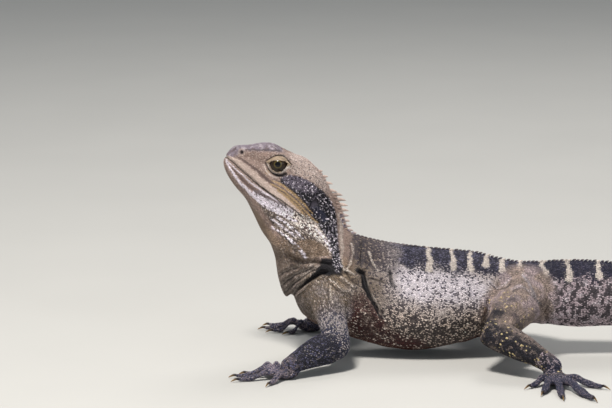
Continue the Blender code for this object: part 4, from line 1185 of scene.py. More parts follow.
def paint_face(c, u, px, py, chance, rough, fine, vein):
    """Mauve grey crown with painted highlights, tan cheeks and temples, the pale lip and the brown streak
    above it, and painted shade under the brow.
    """
    temple = patch(px, py, TEMPLE, 2)
    face = mix(c.tan, c.jowl, 0.28 * temple + 0.3 * (chance > 0.78))
    face = mix(face, c.canthus, 0.35 * (chance < 0.25 + 0.2 * fine) * (1 - temple))
    grains = chance < 0.12 + 0.12 * temple + 0.14 * np.clip(fine, 0, 1)
    face = mix(face, c.mouth, (0.35 + 0.4 * temple) * grains)
    # the crown's white streaks are painted highlights, laid by noise
    crown = mix(c.crown, c.white, 0.5 * step(0, 0.6, 0.6 * vein + 0.5 * fine))
    crown = mix(crown, c.canthus, 0.55 * step(0.15, 0.6, -vein) + 0.25 * (chance < 0.2))
    front = 1 - step(30, 52, u + 6 * rough + 4 * fine)
    face = mix(face, crown, 0.85 * front * patch(px + rough, py + 0.8 * fine, CROWN_AREA, 2.2))
    chin = -(px - CHIN_EDGE[0]) * 0.78 + (py - CHIN_EDGE[1]) * 0.62
    face = mix(face, c.throat, 0.85 * step(0, 3, chin + rough))
    face = mix(face, c.lip, 0.9 * patch(px, py, LIP_AREA, 0.7))
    face = mix(face, c.canthus, 0.9 * stroke(px, py, CANTHUS_LINE, (0.5, 1.1, 1.6, 1.4, 0.4), 0.6))
    # painted shade under the brow's edge
    return mix(face, c.mouth, 0.8 * stroke(px, py, BROW_LINE, (0.4, 0.8, 0.7), 0.5))


def paint_jowl(c, tone, px, py, chance):
    """Cream plates and ridges on the jowl, and the rows of scales along the jaw and the mouth."""
    cream = patch(px, py, JOWL_CREAM, 1.5)
    cheek = mix(mix(c.jowl_grey, c.throat, 0.45), c.jowl, 0.5 * (chance > 0.72))
    cheek = mix(cheek, c.speck_and_shade, 0.6 * (chance < 0.3))
    cheek = mix(cheek, c.jowl, 0.97 * (chance > 0.22) * cream)
    cheek = mix(cheek, c.canthus, 0.8 * (chance < 0.22) * cream)
    cheek = mix(cheek, c.throat, 0.8 * patch(px, py, JOWL_BARE, 2))
    tone = mix(tone, cheek, patch(px, py, JOWL_AREA, 1.5))
    for line, wide in JOWL_RIDGES:
        tone = mix(tone, c.fleck, 0.85 * stroke(px, py, line, wide, 0.6) * (chance > 0.3))
    tone = mix(tone, c.fleck, 0.85 * (chance > 0.14) * patch(px, py, CHIN_WHITE, 0.8))
    tone = mix(tone, c.canthus, 0.85 * stroke(px, py, JAW_BAND, (0.7, 1.6, 1.7, 0.8), 0.6))
    plates = stroke(px, py, CHIN_SCALES, (0.7, 1.4, 2, 1.9, 1), 0.6)
    tone = mix(tone, c.fleck, 0.9 * plates * (chance > 0.12))
    tone = mix(tone, c.fleck, 0.8 * stroke(px, py, LOWER_LIP_LINE, (0.4, 0.7, 0.7, 0.4), 0.4))
    return mix(tone, c.black_and_shade, 0.9 * stroke(px, py, MOUTH_LINE, (0.5, 0.6, 0.6, 0.5), 0.35))


def paint_band(c, px, py, chance, fine):
    """The black band from the eye to the shoulder, with white flecks that grow denser downwards."""
    dots = 0.82 - 0.14 * step(*BAND_FLECKS, py) - 0.10 * fine
    black = mix(c.black_and_shade, c.crown, 0.45 * (chance < 0.25))
    black = mix(black, c.crown, 0.75 * patch(px, py, BAND_FRONT, 2) * (chance > 0.4))
    black = mix(black, c.limb, 0.85 * patch(px, py, BARE_BELOW_EAR, 1.2))
    return mix(black, c.fleck, (0.3 + 0.5 * (chance - dots) / (1 - dots)) * (chance > dots))


def paint_eyelids(c, tone, points):
    """Cream lids with a crease above and a line below painted dark as shade, round the black opening."""
    ex, ez, w = eye_view(points)
    near = step(8, 10, w)
    tone = mix(tone, c.lid, 0.95 * patch(ex, ez, LID_CREASE + LID_RIM[::-1], 0.4) * near)
    tone = mix(tone, c.ochre_and_highlight, 0.6 * bump(np.hypot(ex + 6.8, ez + 4.8), 0, 1.4) * near)
    # pale lines of the lids, painted shade in the crease above them and painted shadow under the lower lid
    for over, share, line, wide, soft in (
        (c.jowl, 0.7, BAG_LINE, (0.2, 0.45, 0.2), 0.25),
        (c.black_and_shade, 0.95, UNDER_LID, (0.3, 0.45, 0.9, 1), 0.3),
        (c.black_and_shade, 0.95, LID_CREASE, (0.25, 0.5, 0.5, 0.4), 0.25),
        (c.jowl, 0.9, LID_RIM, (0.4, 0.5, 0.45, 0.8), 0.25),
    ):
        tone = mix(tone, over, share * stroke(ex, ez, line, wide, soft) * near)
    return mix(tone, c.black_and_shade, 0.97 * patch(ex, ez, OPENING, 0.3) * near)


def bare(points):
    """Where no scale grows: the eye's opening, the lines of lid and mouth, nostril and ear drum."""
    u, _, h = head_axes(points)
    ex, ez, w = eye_view(points)
    found = (w > 8) & (patch(ex, ez, OPENING, 0.1) > 0.5)
    found |= (w > 8) & (line_distance(ex, ez, LID_CREASE)[0] < 0.42)
    found |= (w > 4) & (from_mark(u, h, NOSTRIL) < 1.1)
    found |= (w > 9) & (from_mark(u, h, EAR) < 2.4)
    lips = (u > -2) & (u < MOUTH_CORNER) & (w < 24)
    return found | (lips & (np.abs(h - HEAD_CURVES["mouth"](u)) < 0.42))


def contrast(points):
    """How strongly each scale is painted with a highlight on its keel and shade round its edge and on the
    skin between: least on the face, most on jowls.
    """
    px, py = side_view(points)
    u, side, h = head_axes(points)
    _, turn = body_axes(points)
    face = 1 - step(48, 60, u - 0.3 * h)
    strong = np.maximum(patch(px, py, JOWL_AREA, 3), patch(px, py, BLACK_BAND, 3))
    strong *= 1 - 0.8 * patch(px, py, JOWL_BARE, 3)
    strong = np.maximum(strong, step(0.36, 0.5, turn) * (px > FLANK_START))
    strong = np.maximum(strong, limb_axes(points)[0])
    drum = (from_mark(u, h, EAR) < 3.2) & (np.abs(side) > 9)
    ex, ez, w = eye_view(points)
    lids = (np.hypot(ex, ez) < 9.5) & (w > 8)
    return np.clip(0.55 - 0.25 * face + 0.45 * strong, 0, 1) * ~drum * (1 - 0.6 * lids)


def breadth(points, chance):
    """How broad the scales are at each place: plates along the jaw and the jowl's ridges are the largest."""
    px, py = side_view(points)
    rows = stroke(px, py, CHIN_SCALES, (0.8, 1.6, 2.2, 1.8), 0.4)
    for line, _ in JOWL_RIDGES:
        rows = np.maximum(rows, stroke(px, py, line, (1, 1.3, 1.3, 1), 0.4))
    spiny = (chance > 0.98) & (points[:, 0] > 0)
    return 1 + 0.42 * rows * (chance > 0.35) + 0.4 * spiny


def lift(points, chance):
    """How high the scales stand at each place, next to their usual height."""
    px, py = side_view(points)
    smooth = np.maximum(patch(px, py, CROWN_AREA, 3), patch(px, py, LIP_AREA, 1))
    smooth = np.maximum(smooth, patch(px, py, JOWL_BARE, 2))
    ex, ez, w = eye_view(points)
    smooth = np.maximum(smooth, (1 - step(8, 11, np.hypot(ex, ez))) * (w > 8))
    rugged = np.maximum(patch(px, py, JOWL_CREAM, 2), 0.7 * patch(px, py, TEMPLE, 3))
    thorny = np.maximum(patch(px, py, TEMPLE, 3), patch(px, py, BLACK_BAND, 1)) * (chance > 0.84)
    return 1 - 0.6 * smooth + 0.5 * rugged + 0.9 * thorny


# The skin's relief

# The last is in the head's own axes, and the others are on the side view.
JOWL_EDGE = ((284, 252), (292, 258.5), (304, 262.5), (316, 262.5), (326, 264), (335, 266.5))
GROIN_LINE = ((488, 296), (489, 308), (486, 319), (480, 332), (474, 341))
BEHIND_THIGH = ((533, 291), (541, 304), (546, 317), (549, 330))
NAPE_WRINKLES = (360, 256)
SNOUT_HOLLOW = ((12, 10.5), (20, 12), (26, 12.5))


def fold_across(px, py, line, wide, deep):
    """A crease along a line of the side view, with its skin pushed up on either side."""
    away, share = line_distance(px, py, line)
    ends = step(0, 0.15, share) * (1 - step(0.85, 1, share))
    return deep * ends * (0.4 * bump(away, 2.3 * wide, wide) - bump(away, 0, wide))


def relief(points):
    """How far the skin stands out or in at each point, in millimetres."""
    return head_relief(points) + body_relief(points)


def head_relief(points):
    """The lips, nostrils, ear drums, eyelids and the hollow before each eye."""
    u, side, h = head_axes(points)
    w = np.abs(side)
    gap = h - HEAD_CURVES["mouth"](u)
    lips = (u > -2) & (u < MOUTH_CORNER + 1.5) & (w < 24)
    fade = 1 - step(MOUTH_CORNER - 3, MOUTH_CORNER + 1.5, u)
    ridges = 0.35 * bump(gap, 1.9, 0.9) + 0.25 * bump(gap, -1.8, 0.8)
    out = lips * fade * (ridges - 0.75 * bump(gap, 0, 0.55))
    hole = from_mark(u, h, NOSTRIL)
    out += (w > 4) * (-1.3 * bump(hole, 0, 0.8) + 0.35 * bump(hole, 1.9, 0.6))
    drum = from_mark(u, h, EAR)
    out += (w > 9) * (-0.8 * (1 - step(1.6, 3.1, drum)) + 0.4 * bump(drum, 3.6, 0.6))
    ex, ez, _ = eye_view(points)
    out -= (w > 8) * 2 * patch(ex, ez, OPENING, 0.4)
    out -= (w > 8) * 0.9 * stroke(ex, ez, LID_CREASE, (0.2, 0.4, 0.4), 0.4)
    out -= (w > 8) * 0.5 * stroke(ex, ez, UNDER_LID, (0.2, 0.5, 0.6), 0.4)
    away, _ = line_distance(u, h, SNOUT_HOLLOW)
    return out - (w > 5) * 0.7 * bump(away, 0, 2.2)


def body_relief(points):
    """The folds of throat, shoulder and hip, and the slack skin between them."""
    x, y, z = points.T
    px, py = side_view(points)
    flank = step(5, 10, np.abs(y))
    skin = flank * (1 - 0.8 * limb_axes(points)[0])
    out = skin * fold_across(px, py, SLIT_LINE, 2.4, 3)
    for line, wide, deep in ((JOWL_EDGE, 2, 1.8), (GROIN_LINE, 2.6, 1.6), (BEHIND_THIGH, 3, 1.6)):
        out += flank * fold_across(px, py, line, wide, deep)
    for line, _ in SHOULDER_FOLDS + HIP_FOLDS:
        out += skin * fold_across(px, py, line, 1.7, 0.9)
    for (line, _), deep in zip(POUCH_FOLDS, (1.3, 1.5, 2.4, 0.8)):
        out += flank * fold_across(px, py, line, 1.9, deep)
    for line, _ in SHOULDER_RIDGES:
        out += skin * 0.6 * stroke(px, py, line, (1, 1), 1)
    for line, wide in JOWL_RIDGES:
        out += flank * 0.45 * stroke(px, py, line, wide, 1)
    slack = bump(x, 5, 34) * bump(z, 58, 22)
    out += 0.6 * slack * cloud(points * (1, 1, 0.3), 4, 21)
    nape = bump(px, NAPE_WRINKLES[0], 16) * bump(py, NAPE_WRINKLES[1], 14)
    out += 0.5 * nape * cloud(points * (1, 0.4, 0.25), 3.5, 41)
    fore = step(-30, 0, x) * (1 - step(150, 220, x))
    return out + 0.3 * fore * cloud(points, 7, 31)


def relax(points, edges, share, rounds):
    """Moves each point towards the middle of its neighbours."""
    a, b = edges.T
    count = np.bincount(np.concatenate([a, b]), minlength=len(points))[:, None]
    for _ in range(rounds):
        total = np.stack([
            np.bincount(a, points[b, axis], len(points)) + np.bincount(b, points[a, axis], len(points))
            for axis in range(3)
        ], axis=1)
        points = points + share[:, None] * (total / count - points)
    return points


WRIST = (6.4, 6, 5.4)  # half sizes of the ball that joins a hand or foot to its limb
SNOUT_PLACES = (0, 0.3, 0.7, 1.2, 2, 3)  # sections of the round snout, closer than those behind
SKIN_TRIANGLES = 190000


def body_drawing():
    """All the flesh, as closed bodies that run into one another."""
    bm = bmesh.new()
    add_loft(bm, body_rings(np.append(np.arange(4, BODY_LENGTH, 2.5), BODY_LENGTH), 64))
    places = np.concatenate([SNOUT_PLACES, np.arange(4.2, HEAD_LENGTH, 1.2)])
    add_loft(bm, head_rings(places))
    add_loft(bm, throat_rings())
    for sign in (1, -1):
        add_loft(bm, jowl_rings(sign))
        add_loft(bm, lid_rings(sign), closed_ring=True)
    for (limb, side), (_, _, end, heading) in JOINTS.items():
        for rings in limb_bones(limb, side):
            add_loft(bm, rings)
        for plan in digit_plan(limb, side):
            add_loft(bm, digit_rings(*plan))
        pad, ahead = (PALM, PALM_AHEAD) if limb == "arm" else (SOLE, SOLE_AHEAD)
        turn = Matrix.Rotation(math.radians(heading), 4, "Z")
        end = mirrored(end, side)
        ground = Vector((end[0], end[1], pad[2] - 0.3)) + turn @ Vector((ahead, 0, 0))
        for place, size in ((ground, pad), (Vector(end), WRIST)):
            ball = bmesh.ops.create_uvsphere(bm, u_segments=32, v_segments=18, radius=1)["verts"]
            bmesh.ops.scale(bm, verts=ball, vec=size)
            bmesh.ops.rotate(bm, verts=ball, matrix=turn)
            bmesh.ops.translate(bm, verts=ball, vec=place)
    return bm


def skin_mesh():
    """All the flesh as one closed skin, with its folds, thinned out where it is plain."""
    work = bpy.data.objects.new("skin_work", drawn_mesh(body_drawing(), "skin_parts"))
    bpy.context.scene.collection.objects.link(work)
    remesh = work.modifiers.new("skin", "REMESH")
    remesh.mode = "VOXEL"
    remesh.voxel_size = bpy.context.scene.dragon_sizes.skin_voxel
    whole = applied(work)
    work.modifiers.clear()
    work.data = whole

    points = mesh_points(whole)
    sure, _, down = limb_axes(points)
    run, _ = body_axes(points)
    toes = step(2, 2.3, down) * sure
    thin = step(TRUNK_LENGTH + 120, TRUNK_LENGTH + 300, run) * (points[:, 0] > 250)
    ex, ez, w = eye_view(points)
    lids = (np.hypot(ex, ez) < 9) & (w > 9) & (w < 25) & (points[:, 0] < 0)
    edges = member_rows(whole.edges, "vertices", 2, np.int32)
    points = relax(points, edges, 0.5 - 0.42 * np.maximum(np.maximum(toes, thin), lids), 9)
    move_points(whole, points)
    points += member_rows(whole.vertex_normals, "vector", 3) * (relief(points) - 0.25)[:, None]
    points[:, 2] = np.maximum(points[:, 2], 0.05)
    move_points(whole, points)

    fixed = work.vertex_groups.new(name="plain")
    u, _, h = head_axes(points)
    face = (u < 70) & (h > -14) & (u > -5)
    weight = np.where(face, 0.1, np.where(toes > 0.5, 0.6, 1))
    for level in np.unique(weight):
        fixed.add(np.nonzero(weight == level)[0].tolist(), float(level), "REPLACE")
    triangles = sum(len(p.vertices) - 2 for p in whole.polygons)
    thin_out = work.modifiers.new("thin", "DECIMATE")
    thin_out.ratio = min(1, SKIN_TRIANGLES / triangles)
    thin_out.vertex_group = "plain"
    done = applied(work)
    bpy.data.objects.remove(work)
    done.name = "skin"
    return done


# Materials


def add_node(tree, kind, links=(), **settings):
    """Adds a node with its settings and its links; a setting that names an input sets that input."""
    node = tree.nodes.new(kind)
    for name, value in settings.items():
        if hasattr(node, name):
            setattr(node, name, value)
        else:
            node.inputs[name.replace("_", " ")].default_value = value
    for socket, source in links:
        tree.links.new(source, node.inputs[socket])
    return node


def new_material(name):
    """A material, its node tree, its shader, and the place on the object that its patterns follow."""
    made = bpy.data.materials.new(name)
    made.use_nodes = True
    tree = made.node_tree
    place = add_node(tree, "ShaderNodeTexCoord").outputs["Object"]
    return made, tree, tree.nodes["Principled BSDF"], place


def horny_skin(name, roughness, grain, depth):
    """Dry reptile skin and horn, keratin over pigment: matt, with a faint sheen and a fine wrinkling.

    The pigment comes from each point's tint, mottled in spots of this grain in millimetres. The wrinkles are
    as deep as this in millimetres, and 0.3 mm apart, coarser than real ones so that they show.
    """
    made, tree, shader, place = new_material(name)
    tint = add_node(tree, "ShaderNodeAttribute", attribute_name="tint").outputs["Color"]
    mottle = add_node(tree, "ShaderNodeTexNoise", [("Vector", place)], Scale=1 / (grain * MM), Detail=3)
    mottle = mottle.outputs["Fac"]
    shade = add_node(
        tree, "ShaderNodeMapRange", [("Value", mottle)], From_Min=0.3, From_Max=0.7, To_Min=0.82, To_Max=1.14)
    toned = add_node(
        tree, "ShaderNodeVectorMath", [(0, tint), (1, shade.outputs["Result"])], operation="MULTIPLY")
    tree.links.new(toned.outputs["Vector"], shader.inputs["Base Color"])
    gloss = add_node(
        tree, "ShaderNodeMapRange", [("Value", mottle)], To_Min=roughness - 0.1, To_Max=roughness + 0.1)
    tree.links.new(gloss.outputs["Result"], shader.inputs["Roughness"])
    wrinkles = add_node(tree, "ShaderNodeTexNoise", [("Vector", place)], Scale=1 / (0.3 * MM), Detail=2)
    raised = add_node(
        tree, "ShaderNodeBump", [("Height", wrinkles.outputs["Fac"])], Strength=0.35, Distance=depth * MM)
    tree.links.new(raised.outputs["Normal"], shader.inputs["Normal"])
    shader.inputs["IOR"].default_value = 1.54  # keratin
    shader.inputs["Specular IOR Level"].default_value = 0.26  # dusty, so less sheen than clean horn
    return made


def set_tint(mesh, tones):
    """Keeps a colour for each point of the mesh, for its material to read."""
    layer = mesh.attributes.new("tint", "FLOAT_COLOR", "POINT")
    data = np.ones((len(tones), 4), np.float32)
    data[:, :3] = np.clip(tones, 0, 1)
    layer.data.foreach_set("color", data.ravel())


# The coat of scales


class SkinMap:
    """The finished skin, to find the nearest place on it and the way that it faces."""

    def __init__(self):
        mesh = bpy.data.objects["skin"].data
        self.points = mesh_points(mesh)
        self.normals = member_rows(mesh.vertex_normals, "vector", 3)
        mesh.calc_loop_triangles()
        self.faces = member_rows(mesh.loop_triangles, "vertices", 3, np.int32)
        self.tree = BVHTree.FromPolygons(self.points.tolist(), self.faces.tolist())

    def nearest(self, points):
        """The nearest place on the skin, its normal and its distance, for each point."""
        places, normals, away = np.empty_like(points), np.empty_like(points), np.empty(len(points))
        for i, point in enumerate(points.tolist()):
            place, _, face, distance = self.tree.find_nearest(point)
            places[i] = place
            away[i] = distance
            normals[i] = self.normals[self.faces[face]].sum(axis=0)
        return places, unit(normals), away


def flat_scale():
    """One keeled scale: its points, its faces, and the light painted at each point.

    It is a low six-sided pyramid, flat below, with a painted highlight at its top and painted shade round its
    edge. Its top lies towards the hind corner, which is raised, and its front corner sinks into the skin.
    """
    bm = bmesh.new()
    bmesh.ops.create_cone(bm, cap_ends=True, segments=6, radius1=0.5, radius2=0, depth=1)
    bmesh.ops.rotate(bm, verts=bm.verts, matrix=Matrix.Rotation(math.radians(30), 3, "Z"))
    bmesh.ops.triangulate(bm, faces=bm.faces)
    for vert in bm.verts:
        if vert.co.z > 0:
            vert.co = (0.20, 0, 0.5)
        elif vert.co.x > 0.45:
            vert.co = (0.60, 0, 0.25)
        elif vert.co.x < -0.45:
            vert.co = (-0.50, 0, -0.3)
        elif vert.co.x > 0:
            vert.co.x, vert.co.z = 0.26, -0.08
        else:
            vert.co.x, vert.co.z = -0.24, -0.28
    points = np.array([v.co[:] for v in bm.verts])
    faces = np.array([[v.index for v in f.verts] for f in bm.faces])
    bm.free()
    # painted light: a highlight at the top, the hind corner a little less, and painted shade round the edge
    shade = np.where(points[:, 2] > 0.4, 1.1, np.where(points[:, 0] > 0.55, 0.9, 0.25))
    return points, faces, shade


def low_scale():
    """One granule, a low bead: its points, its faces, and the light painted at each point, a highlight on its
    top and shade round its edge.
    """
    points, faces, _ = flat_scale()
    points[:, 0] = np.where(points[:, 2] > 0.4, 0, points[:, 0])
    points[:, 2] = np.where(points[:, 2] > 0.4, 0.42, -0.2)
    # a painted highlight at the top and painted shade round the edge
    return points, faces, np.where(points[:, 2] > 0.3, 1.1, 0.25)


class Coat:
    """Roots of scales: the place of each, its normal, its way backwards, its size and its unwrap place."""

    def __init__(self):
        self.parts = []

    def add(self, place, normal, back, size, unwrap):
        back = unit(back - normal * (back * normal).sum(axis=1)[:, None])
        self.parts.append((place, normal, back, size, unwrap))

    def joined(self):
        return [np.concatenate(kind) for kind in zip(*self.parts)]


def rows_over(rings, along, around, seed):
    """Roots in staggered rows over a loft: places, backward ways and place on a flat unwrap from 0 to 1."""
    rng = np.random.default_rng(seed)
    gaps = np.linalg.norm(np.diff(rings, axis=0), axis=2).mean(axis=1)
    run = np.concatenate([[0], np.cumsum(gaps)])
    places, ways, flat = [], [], []
    rows = np.arange(along / 2, run[-1], along)
    for number, at in enumerate(rows):
        i = min(int(np.searchsorted(run, at, side="right")) - 1, len(rings) - 2)
        share = (at - run[i]) / max(gaps[i], 1e-9)
        ring = rings[i] * (1 - share) + rings[i + 1] * share
        way = rings[i + 1] - rings[i]
        ring, way = np.vstack([ring, ring[:1]]), np.vstack([way, way[:1]])
        arc = run_along(ring)
        count = max(5, round(arc[-1] / around))
        where = (np.arange(count) + 0.5 * (number % 2) + rng.uniform(-0.2, 0.2, count)) * arc[-1] / count
        where %= arc[-1]
        places.append(np.stack([np.interp(where, arc, ring[:, k]) for k in range(3)], axis=1))
        ways.append(np.stack([np.interp(where, arc, way[:, k]) for k in range(3)], axis=1))
        flat.append(np.stack([np.full(count, at / run[-1]), where / arc[-1]], axis=1))
    places, ways = np.concatenate(places), unit(np.concatenate(ways))
    places += ways * rng.uniform(-0.17, 0.17, (len(places), 1)) * along
    return places, ways, np.concatenate(flat)


def near_any(points, others, reach):
    """Whether each point lies within reach of one of the others."""
    if not len(others):
        return np.zeros(len(points), bool)
    tree = tree_of(others)
    return np.array([tree.find(p)[2] < reach for p in points.tolist()], bool)


def lay_rows(coat, skin, rings, pitch, seed, box, tolerance, stretch=1):
    """Lays rows of scales where a loft is the animal's outside, clear of those that lie there already.

    The box is the part of the flat unwrap that they take, and the tolerance how far the skin may lie from
    the loft, in millimetres.
    """
    places, ways, flat = rows_over(rings, pitch * 0.92 * stretch, pitch, seed)
    on_skin, normal, away = skin.nearest(places)
    keep = away < tolerance
    done = coat.joined()[0] if coat.parts else ()
    keep[keep] = ~near_any(on_skin[keep], done, pitch * 0.58)
    x0, y0, x1, y1 = box
    unwrap = np.array((x0, y0)) + flat[keep] * ((x1 - x0), (y1 - y0))
    size = np.tile((pitch * stretch, pitch), (keep.sum(), 1))
    coat.add(on_skin[keep], normal[keep], ways[keep], size, unwrap)


GAP_CELL = 1.2  # size of the cells that new scales are sorted into, larger than any gap between two


def fill_gaps(coat, skin, region):
    """Lays scales on what the rows left bare, each like its nearest neighbour."""
    place, _, back, size, unwrap = coat.joined()
    tree = tree_of(place)
    rng = np.random.default_rng(77)
    order = rng.permutation(np.nonzero(region)[0])
    new, like, cells = [], [], {}
    for i in order.tolist():
        p = skin.points[i]
        _, j, away = tree.find(p)
        pitch = size[j][1]
        if away < 0.62 * pitch:
            continue
        cell = tuple(int(v // GAP_CELL) for v in p)
        around = (tuple(a + b for a, b in zip(cell, way)) for way in product((-1, 0, 1), repeat=3))
        if any(math.dist(p, q) < 0.68 * pitch for key in around for q in cells.get(key, ())):
            continue
        cells.setdefault(cell, []).append(p)
        new.append(i)
        like.append(j)
    shift = rng.uniform(-0.004, 0.004, (len(new), 2))
    coat.add(skin.points[new], skin.normals[new], back[like], size[like], unwrap[like] + shift)


SCALE_LONG = 1.3  # each scale's length and width next to its row's spacing, so that neighbours overlap
SCALE_WIDE = 1.16
UNWRAP_SCALE = 0.0026  # how large each scale is on the flat unwrap


def coat_mesh(name, roots, template, tall, seed):
    """Joins one copy of the template per root into a mesh with its tint and its flat unwrap."""
    place, normal, back, size, unwrap = roots
    points, faces, shade = template
    rng = np.random.default_rng(seed)
    count, per = len(place), len(points)
    chance = rng.random(count)
    grow = rng.uniform(0.84, 1.18, count) * breadth(place, chance)
    twist = rng.uniform(-0.22, 0.22, (count, 1))
    back = back * np.cos(twist) + np.cross(normal, back) * np.sin(twist)
    across = np.cross(normal, back)
    size = size * grow[:, None]
    tall = (tall * lift(place, chance))[:, None, None]
    spots = (
        place[:, None, :]
        + back[:, None, :] * points[None, :, 0:1] * size[:, None, 0:1] * SCALE_LONG
        + across[:, None, :] * points[None, :, 1:2] * size[:, None, 1:2] * SCALE_WIDE
        + normal[:, None, :] * (points[None, :, 2:3] * size[:, None, 1:2] * tall)
    )
    spots[:, :, 2] = np.maximum(spots[:, :, 2], 0)
    # Painted light and shade on each scale: its tone is raised to keep its mean, then darkened from the
    # highlight at its keel to the painted shade round its edge.
    depth = contrast(place)[:, None, None]
    uneven = 1 + (0.1 + 0.2 * depth) * rng.uniform(-1, 1, (count, 1, 1))
    tone = paint(place, chance)[:, None, :] * (1 + 0.45 * depth) * uneven
    tone = tone * (1 - depth * (1 - shade[None, :, None]))

    mesh = bpy.data.meshes.new(name)
    mesh.vertices.add(count * per)
    index = (faces[None, :, :] + (np.arange(count) * per)[:, None, None]).reshape(-1, 3)
    mesh.loops.add(index.size)
    mesh.loops.foreach_set("vertex_index", index.ravel().astype(np.int32))
    mesh.polygons.add(len(index))
    mesh.polygons.foreach_set("loop_start", np.arange(0, index.size, 3, dtype=np.int32))
    mesh.update(calc_edges=True)
    move_points(mesh, spots.reshape(-1, 3))
    mesh.validate()
    set_tint(mesh, tone.reshape(-1, 3))
    layer = mesh.uv_layers.new(name="OFBake")
    corner = (unwrap[:, None, :] + points[None, :, 0:2] * UNWRAP_SCALE).reshape(-1, 2)[index.ravel()]
    layer.data.foreach_set("uv", corner.astype(np.float32).ravel())
    return mesh


LID_SCALE = 0.66  # spacing of the scales on the eyelids
LEFT_AND_RIGHT = ((1, 0), (-1, 0.5))  # the sign of a side, and where its half of the unwrap starts


def lay_coat(skin):
    """Roots of all the scales, each part's own rows laid clear of those before it."""
    s = bpy.context.scene.dragon_sizes
    coat = Coat()
    for sign, x0 in LEFT_AND_RIGHT:
        lay_rows(coat, skin, lid_rings(sign), LID_SCALE, 11, (x0, 0.9, x0 + 0.48, 1), 0.8)
    for sign, x0 in LEFT_AND_RIGHT:
        box = (x0, 0.55, x0 + 0.48, 0.88)
        lay_rows(coat, skin, jowl_rings(sign), s.jowl_scale / MM, 12, box, 1.5, stretch=1.45)
    whole = (0, 0, 1, 1)
    head = head_rings(np.arange(0.3, HEAD_LENGTH, 0.9))
    lay_rows(coat, skin, head, s.head_scale / MM, 13, (0, 0, 1, 0.53), 1.5)
    lay_rows(coat, skin, throat_rings(), s.throat_scale / MM, 14, whole, 1.8)
    for number, (limb, side) in enumerate(JOINTS):
        x0 = 0.25 * number
        upper, lower = limb_bones(limb, side)
        lay_rows(coat, skin, upper, s.limb_scale / MM, 20 + number, (x0, 0.7, x0 + 0.24, 1), 1.6)
        lay_rows(coat, skin, lower, s.limb_scale / MM, 30 + number, (x0, 0.4, x0 + 0.24, 0.69), 1.6)
        for digit, plan in enumerate(digit_plan(limb, side)):
            box = (x0, 0.075 * digit, x0 + 0.24, 0.075 * digit + 0.07)
            lay_rows(coat, skin, digit_rings(*plan), s.digit_scale / MM, 40 + digit, box, 1.2)
    trunk = body_rings(np.arange(2, TRUNK_LENGTH + 6, 2), 96)
    lay_rows(coat, skin, trunk, s.trunk_scale / MM, 15, whole, 2.2)
    tail = body_rings(np.arange(TRUNK_LENGTH + 4, BODY_LENGTH, 2), 64)
    lay_rows(coat, skin, tail, s.tail_scale / MM, 16, whole, 1.6, stretch=1.15)
    fill_gaps(coat, skin, (skin.points[:, 2] > 0.8) & ~bare(skin.points))
    roots = coat.joined()
    grows = ~bare(roots[0])
    return [kind[grows] for kind in roots]


def coat_parts(place):
    """Which piece each root belongs to, as its number in SCALE_PIECES."""
    sure, leg, _ = limb_axes(place)
    run, _ = body_axes(place)
    u, _, _ = head_axes(place)
    part = np.digitize(run, (TRUNK_LENGTH * 0.30, TRUNK_LENGTH * 0.62, TRUNK_LENGTH - 2)) + 2
    limb = (sure > 0.5) & (place[:, 2] < 60)
    part = np.where(limb, 6, part)
    part = np.where(limb & (leg > 0.5), np.where(place[:, 1] < 0, 7, 8), part)
    part = np.where((u < HEAD_LENGTH) & (place[:, 0] < 28) & (place[:, 2] > 70), 0, part)
    px, py = side_view(place)
    cheek = np.maximum(patch(px, py, JOWL_AREA, 1), patch(px, py, BLACK_BAND, 1)) > 0.5
    return np.where(cheek & (part == 0), 1, part)


# Crest, eyes and claws


# The crest next to the plan of its spines: those of the nape are lower, and those of the back closer.
NAPE_HEIGHT = 0.88
BACK_CROWDING = 0.62
CREST_END = 0.78  # share of the tail that carries spines
TALL_SPINE = 2.6  # from this height on a spine has its own pale colour
FLANKED_SPINE = 3.0  # a higher one has two small ones beside it


def crest_plan():
    """Place along the body, height, lean and root width of every spine of the crest."""
    places = np.linspace(0, BODY_LENGTH, 1200)
    ridge = BODY(places)[:, 0:3]
    run = run_along(ridge)
    plan, at = [], NAPE_START
    for height in NAPE_SPINES:
        plan.append((float(np.interp(at, run, places)), NAPE_HEIGHT * height, NAPE_LEAN, 1.7 + 0.07 * height))
        at += NAPE_PITCH
    number = 0
    while True:
        place = float(np.interp(at, run, places))
        along_tail = place - TRUNK_LENGTH
        if along_tail > TAIL_LENGTH * CREST_END:
            return plan
        fade = 1 - 0.55 * max(0, along_tail) / 280
        height = (BACK_SPINE if along_tail < 0 else TAIL_SPINE) * max(fade, 0.3)
        height *= 1 + 0.16 * math.sin(2.4 * number)
        plan.append((place, height, BACK_LEAN, 1.45 * max(fade, 0.35)))
        at += BACK_CROWDING * (BACK_PITCH if along_tail < 0 else TAIL_PITCH)
        number += 1


def spine_rings(root, up, back, height, lean, width):
    """A thorn that is flat from side to side, hooks backwards and ends in a point."""
    side = up.cross(back)
    rings = []
    for share in (-0.22, 0, 0.12, 0.28, 0.46, 0.64, 0.82, 0.94, 1):
        tilt = lean + 0.35 * share - 0.1
        middle = root + up * (height * share * math.cos(tilt)) + back * (height * share * math.sin(tilt))
        fat = 0.62 * width * (1 - max(share, 0) ** 1.9) ** 0.85 + 0.05
        way = up * math.cos(tilt) + back * math.sin(tilt)
        across = side.cross(way)
        rings.append([
            middle + across * (math.cos(a) * fat) + side * (math.sin(a) * fat * 0.5)
            for a in turns(10)
        ])
    return np.array(rings)


